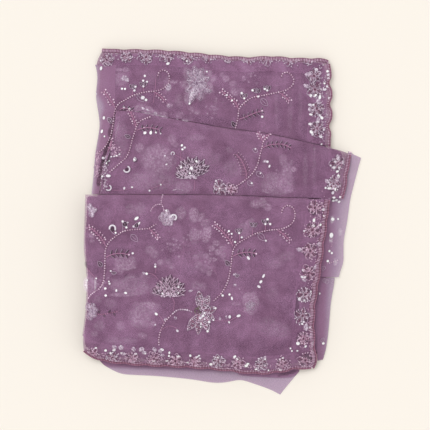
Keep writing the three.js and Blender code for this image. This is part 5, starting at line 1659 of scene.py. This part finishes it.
def edging(name, node, axis, outward, reach, seed, pale=0.62):
    """A rose tape along a CAD cord, under pale comb stitches inside and rose beads outside.

    The reach is how far the tape goes to the inner and the outer side, in millimetres, and pale is
    the share of its width that the pale stitches take."""
    chance = np.random.default_rng(seed)
    points = drawn(cord_route(node, axis), EDGING_PITCH * MM, 0)
    up = np.array((0, 0, 1.0))
    steps = np.gradient(points, axis=0)
    steps /= np.linalg.norm(steps, axis=1)[:, None]
    across = np.cross(steps, up)
    across /= np.linalg.norm(across, axis=1)[:, None]
    if np.mean(across @ np.array(outward)) < 0:
        across = -across
    inner, outer = reach
    middle = (inner + outer) / 2
    width = outer - inner
    stitches = [  # offset, finish, length across, thickness, lift
        (inner + width * pale * 0.5, "pale", width * pale * 1.05, 1.2, 2.2),
        (outer - width * (1 - pale) * 0.5, "rose", width * (1 - pale) * 1.1, 1.2, 1.7),
    ]
    shape, faces, fade = TEMPLATES["bead"]
    names = ["pale", "rose"]
    spots, corners, tones, finishes = [], [], [], []
    for point, way, step in zip(points, across, steps):
        for offset, finish, length, thick, lift in stitches:
            tone = chance.uniform(0.0, 0.5) if finish == "pale" else chance.uniform(0.5, 1.0)
            size = np.array((length * chance.uniform(0.85, 1.1), thick, thick)) * MM
            ends = [
                clear_of_cloth(point + way * (offset + side * length / 2) * MM + up * lift * MM, 0.9)
                for side in (-1, 1)
            ]
            lie_along = (ends[1] - ends[0]) / np.linalg.norm(ends[1] - ends[0])
            top = np.cross(lie_along, step)
            turned = np.stack([lie_along, step, top] if top[2] > 0 else [lie_along, -step, -top])
            corners.append(faces + len(shape) * len(spots))
            spots.append((shape * size) @ turned + (ends[0] + ends[1]) / 2)
            tones.append(np.full(len(shape), tone))
            finishes.append(np.full(len(faces), names.index(finish)))
    beads = joined_piece(name, spots, corners, tones, finishes, names)
    made = bmesh.new()
    lines = []
    for offset, lift in ((inner, 1.2), (middle, 1.5), (outer, 0.6)):
        places = [clear_of_cloth(p + w * offset * MM + up * lift * MM, 0.3) for p, w in zip(points, across)]
        row = [made.verts.new(place) for place in places]
        lines.append([made.edges.new(pair) for pair in zip(row, row[1:])])
    for first, second in zip(lines, lines[1:]):
        bmesh.ops.bridge_loops(made, edges=first + second)
    bmesh.ops.recalc_face_normals(made, faces=made.faces)
    if sum(f.normal.z for f in made.faces) < 0:
        bmesh.ops.reverse_faces(made, faces=made.faces)
    bmesh.ops.solidify(made, geom=made.faces, thickness=0.5 * MM)
    tape = bpy.data.meshes.new(name.replace("beads", "tape"))
    made.to_mesh(tape)
    made.free()
    tape.polygons.foreach_set("use_smooth", [True] * len(tape.polygons))
    band = placed_piece(tape, chance.random(len(tape.vertices)), ["tape"])
    for piece in (beads, band):
        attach(piece, "root")
    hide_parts(node)
    print(name, "route (mm)", round(len(points) * EDGING_PITCH), "stitches", len(spots))
    return [band, beads]


# The tape is real binding, and its outer reach also takes in the dark shadow line along each edge, which the
# tape's dark rose paints.
EDGINGS = {
    "front_side_strip": edging(
        "front_side_edging_beads", "front_side_edging", 1, (1, 0, 0), (-3.4, 3.2), 41, 0.76,
    ),
    "front_hem_strip": edging("front_hem_edging_beads", "front_hem_edging", 0, (0, -1, 0), (-3.2, 1.2), 42),
    "middle_side_strip": edging(
        "middle_side_edging_beads", "middle_side_edging", 1, (1, 0, 0), (-2.8, 1.8), 43,
    ),
    "back_side_strip": edging("back_side_edging_beads", "back_side_edging", 1, (1, 0, 0), (-3.0, 0.8), 44),
    "back_hem_strip": edging("back_hem_edging_beads", "back_hem_edging", 0, (0, 1, 0), (-2.4, 2.2), 45, 0.9),
}

# %% [markdown]
# ## Sheets
# Each ply is printed with the size of the stretch it was cut from, with whether it is folded in a
# stack or laid loose, and with how many pieces of work are sewn to it. All of them are parts of one
# long cloth.

# %% Listing the plies
SEWN_ON = {
    "front_ply": ["front_vines", "front_lily_beads", "front_carnation_beads", "front_work_below"],
    "middle_ply": ["middle_vines", "middle_carnation_beads", "middle_work_below"],
    "back_ply": ["back_vines", "back_work_below"],
    "front_side_strip": ["front_border_beads"],
    "middle_side_strip": ["middle_border_beads"],
    "back_side_strip": ["back_border_beads"],
    "left_loose": ["left_ply_beads"],
    "right_loose": ["right_ply_beads"],
}
for name, *_, cut, _ in PLIES:
    with_work = list(EDGINGS.get(name, []))
    for sewn in SEWN_ON.get(name, []):
        with_work += [o for o in bpy.data.objects if o.name in (sewn, sewn + "_thread")]
    held = "folded" if name.endswith(("ply", "strip")) else "laid"
    print(name, held, "cut (mm)", [round(1000 * side) for side in cut], "with", len(with_work), "pieces")

# %% [markdown]
# ## Table, light and camera
# The saree lies on a plain pale table under soft light, as for a catalogue. A wide sun lamp stands
# in for a large soft box, so the table is evenly lit and the shadows have no hard edge. The camera
# looks straight down from far above, so that the folds at the sides are seen no more than they are
# from a tall tripod, and the view is as wide as the chart.

# %% Table
bpy.ops.mesh.primitive_plane_add(size=12)
table = bpy.context.object
table.name = "table"
ground = Finish("table")
table.data.materials.append(ground.shine(Base_Color=colour(0.945, 0.885, 0.80), Roughness=0.9))

# %% Light
world = bpy.data.worlds.new("studio")
world.use_nodes = True
world.node_tree.nodes["Background"].inputs[0].default_value = (1, 1, 1, 1)
world.node_tree.nodes["Background"].inputs[1].default_value = 0.72
bpy.context.scene.world = world
lamp = bpy.data.lights.new("key", "SUN")
lamp.energy, lamp.angle = 1.14, math.radians(45)
key = bpy.data.objects.new("key", lamp)
key.rotation_euler = Vector((1.0, -0.9, -2.6)).to_track_quat("-Z", "Y").to_euler()
bpy.context.collection.objects.link(key)

# %% Camera
camera = bpy.data.objects.new("camera", bpy.data.cameras.new("camera"))
VIEW_WIDTH = 430 * SQUARE
CAMERA_HEIGHT = 5.0
camera.location = (*plan(215, 215), CAMERA_HEIGHT)
camera.data.sensor_width = 36
camera.data.lens = 36 * CAMERA_HEIGHT / VIEW_WIDTH
camera.data.clip_end = 20
bpy.context.collection.objects.link(camera)
bpy.context.scene.camera = camera
bpy.context.scene.view_settings.view_transform = "Standard"
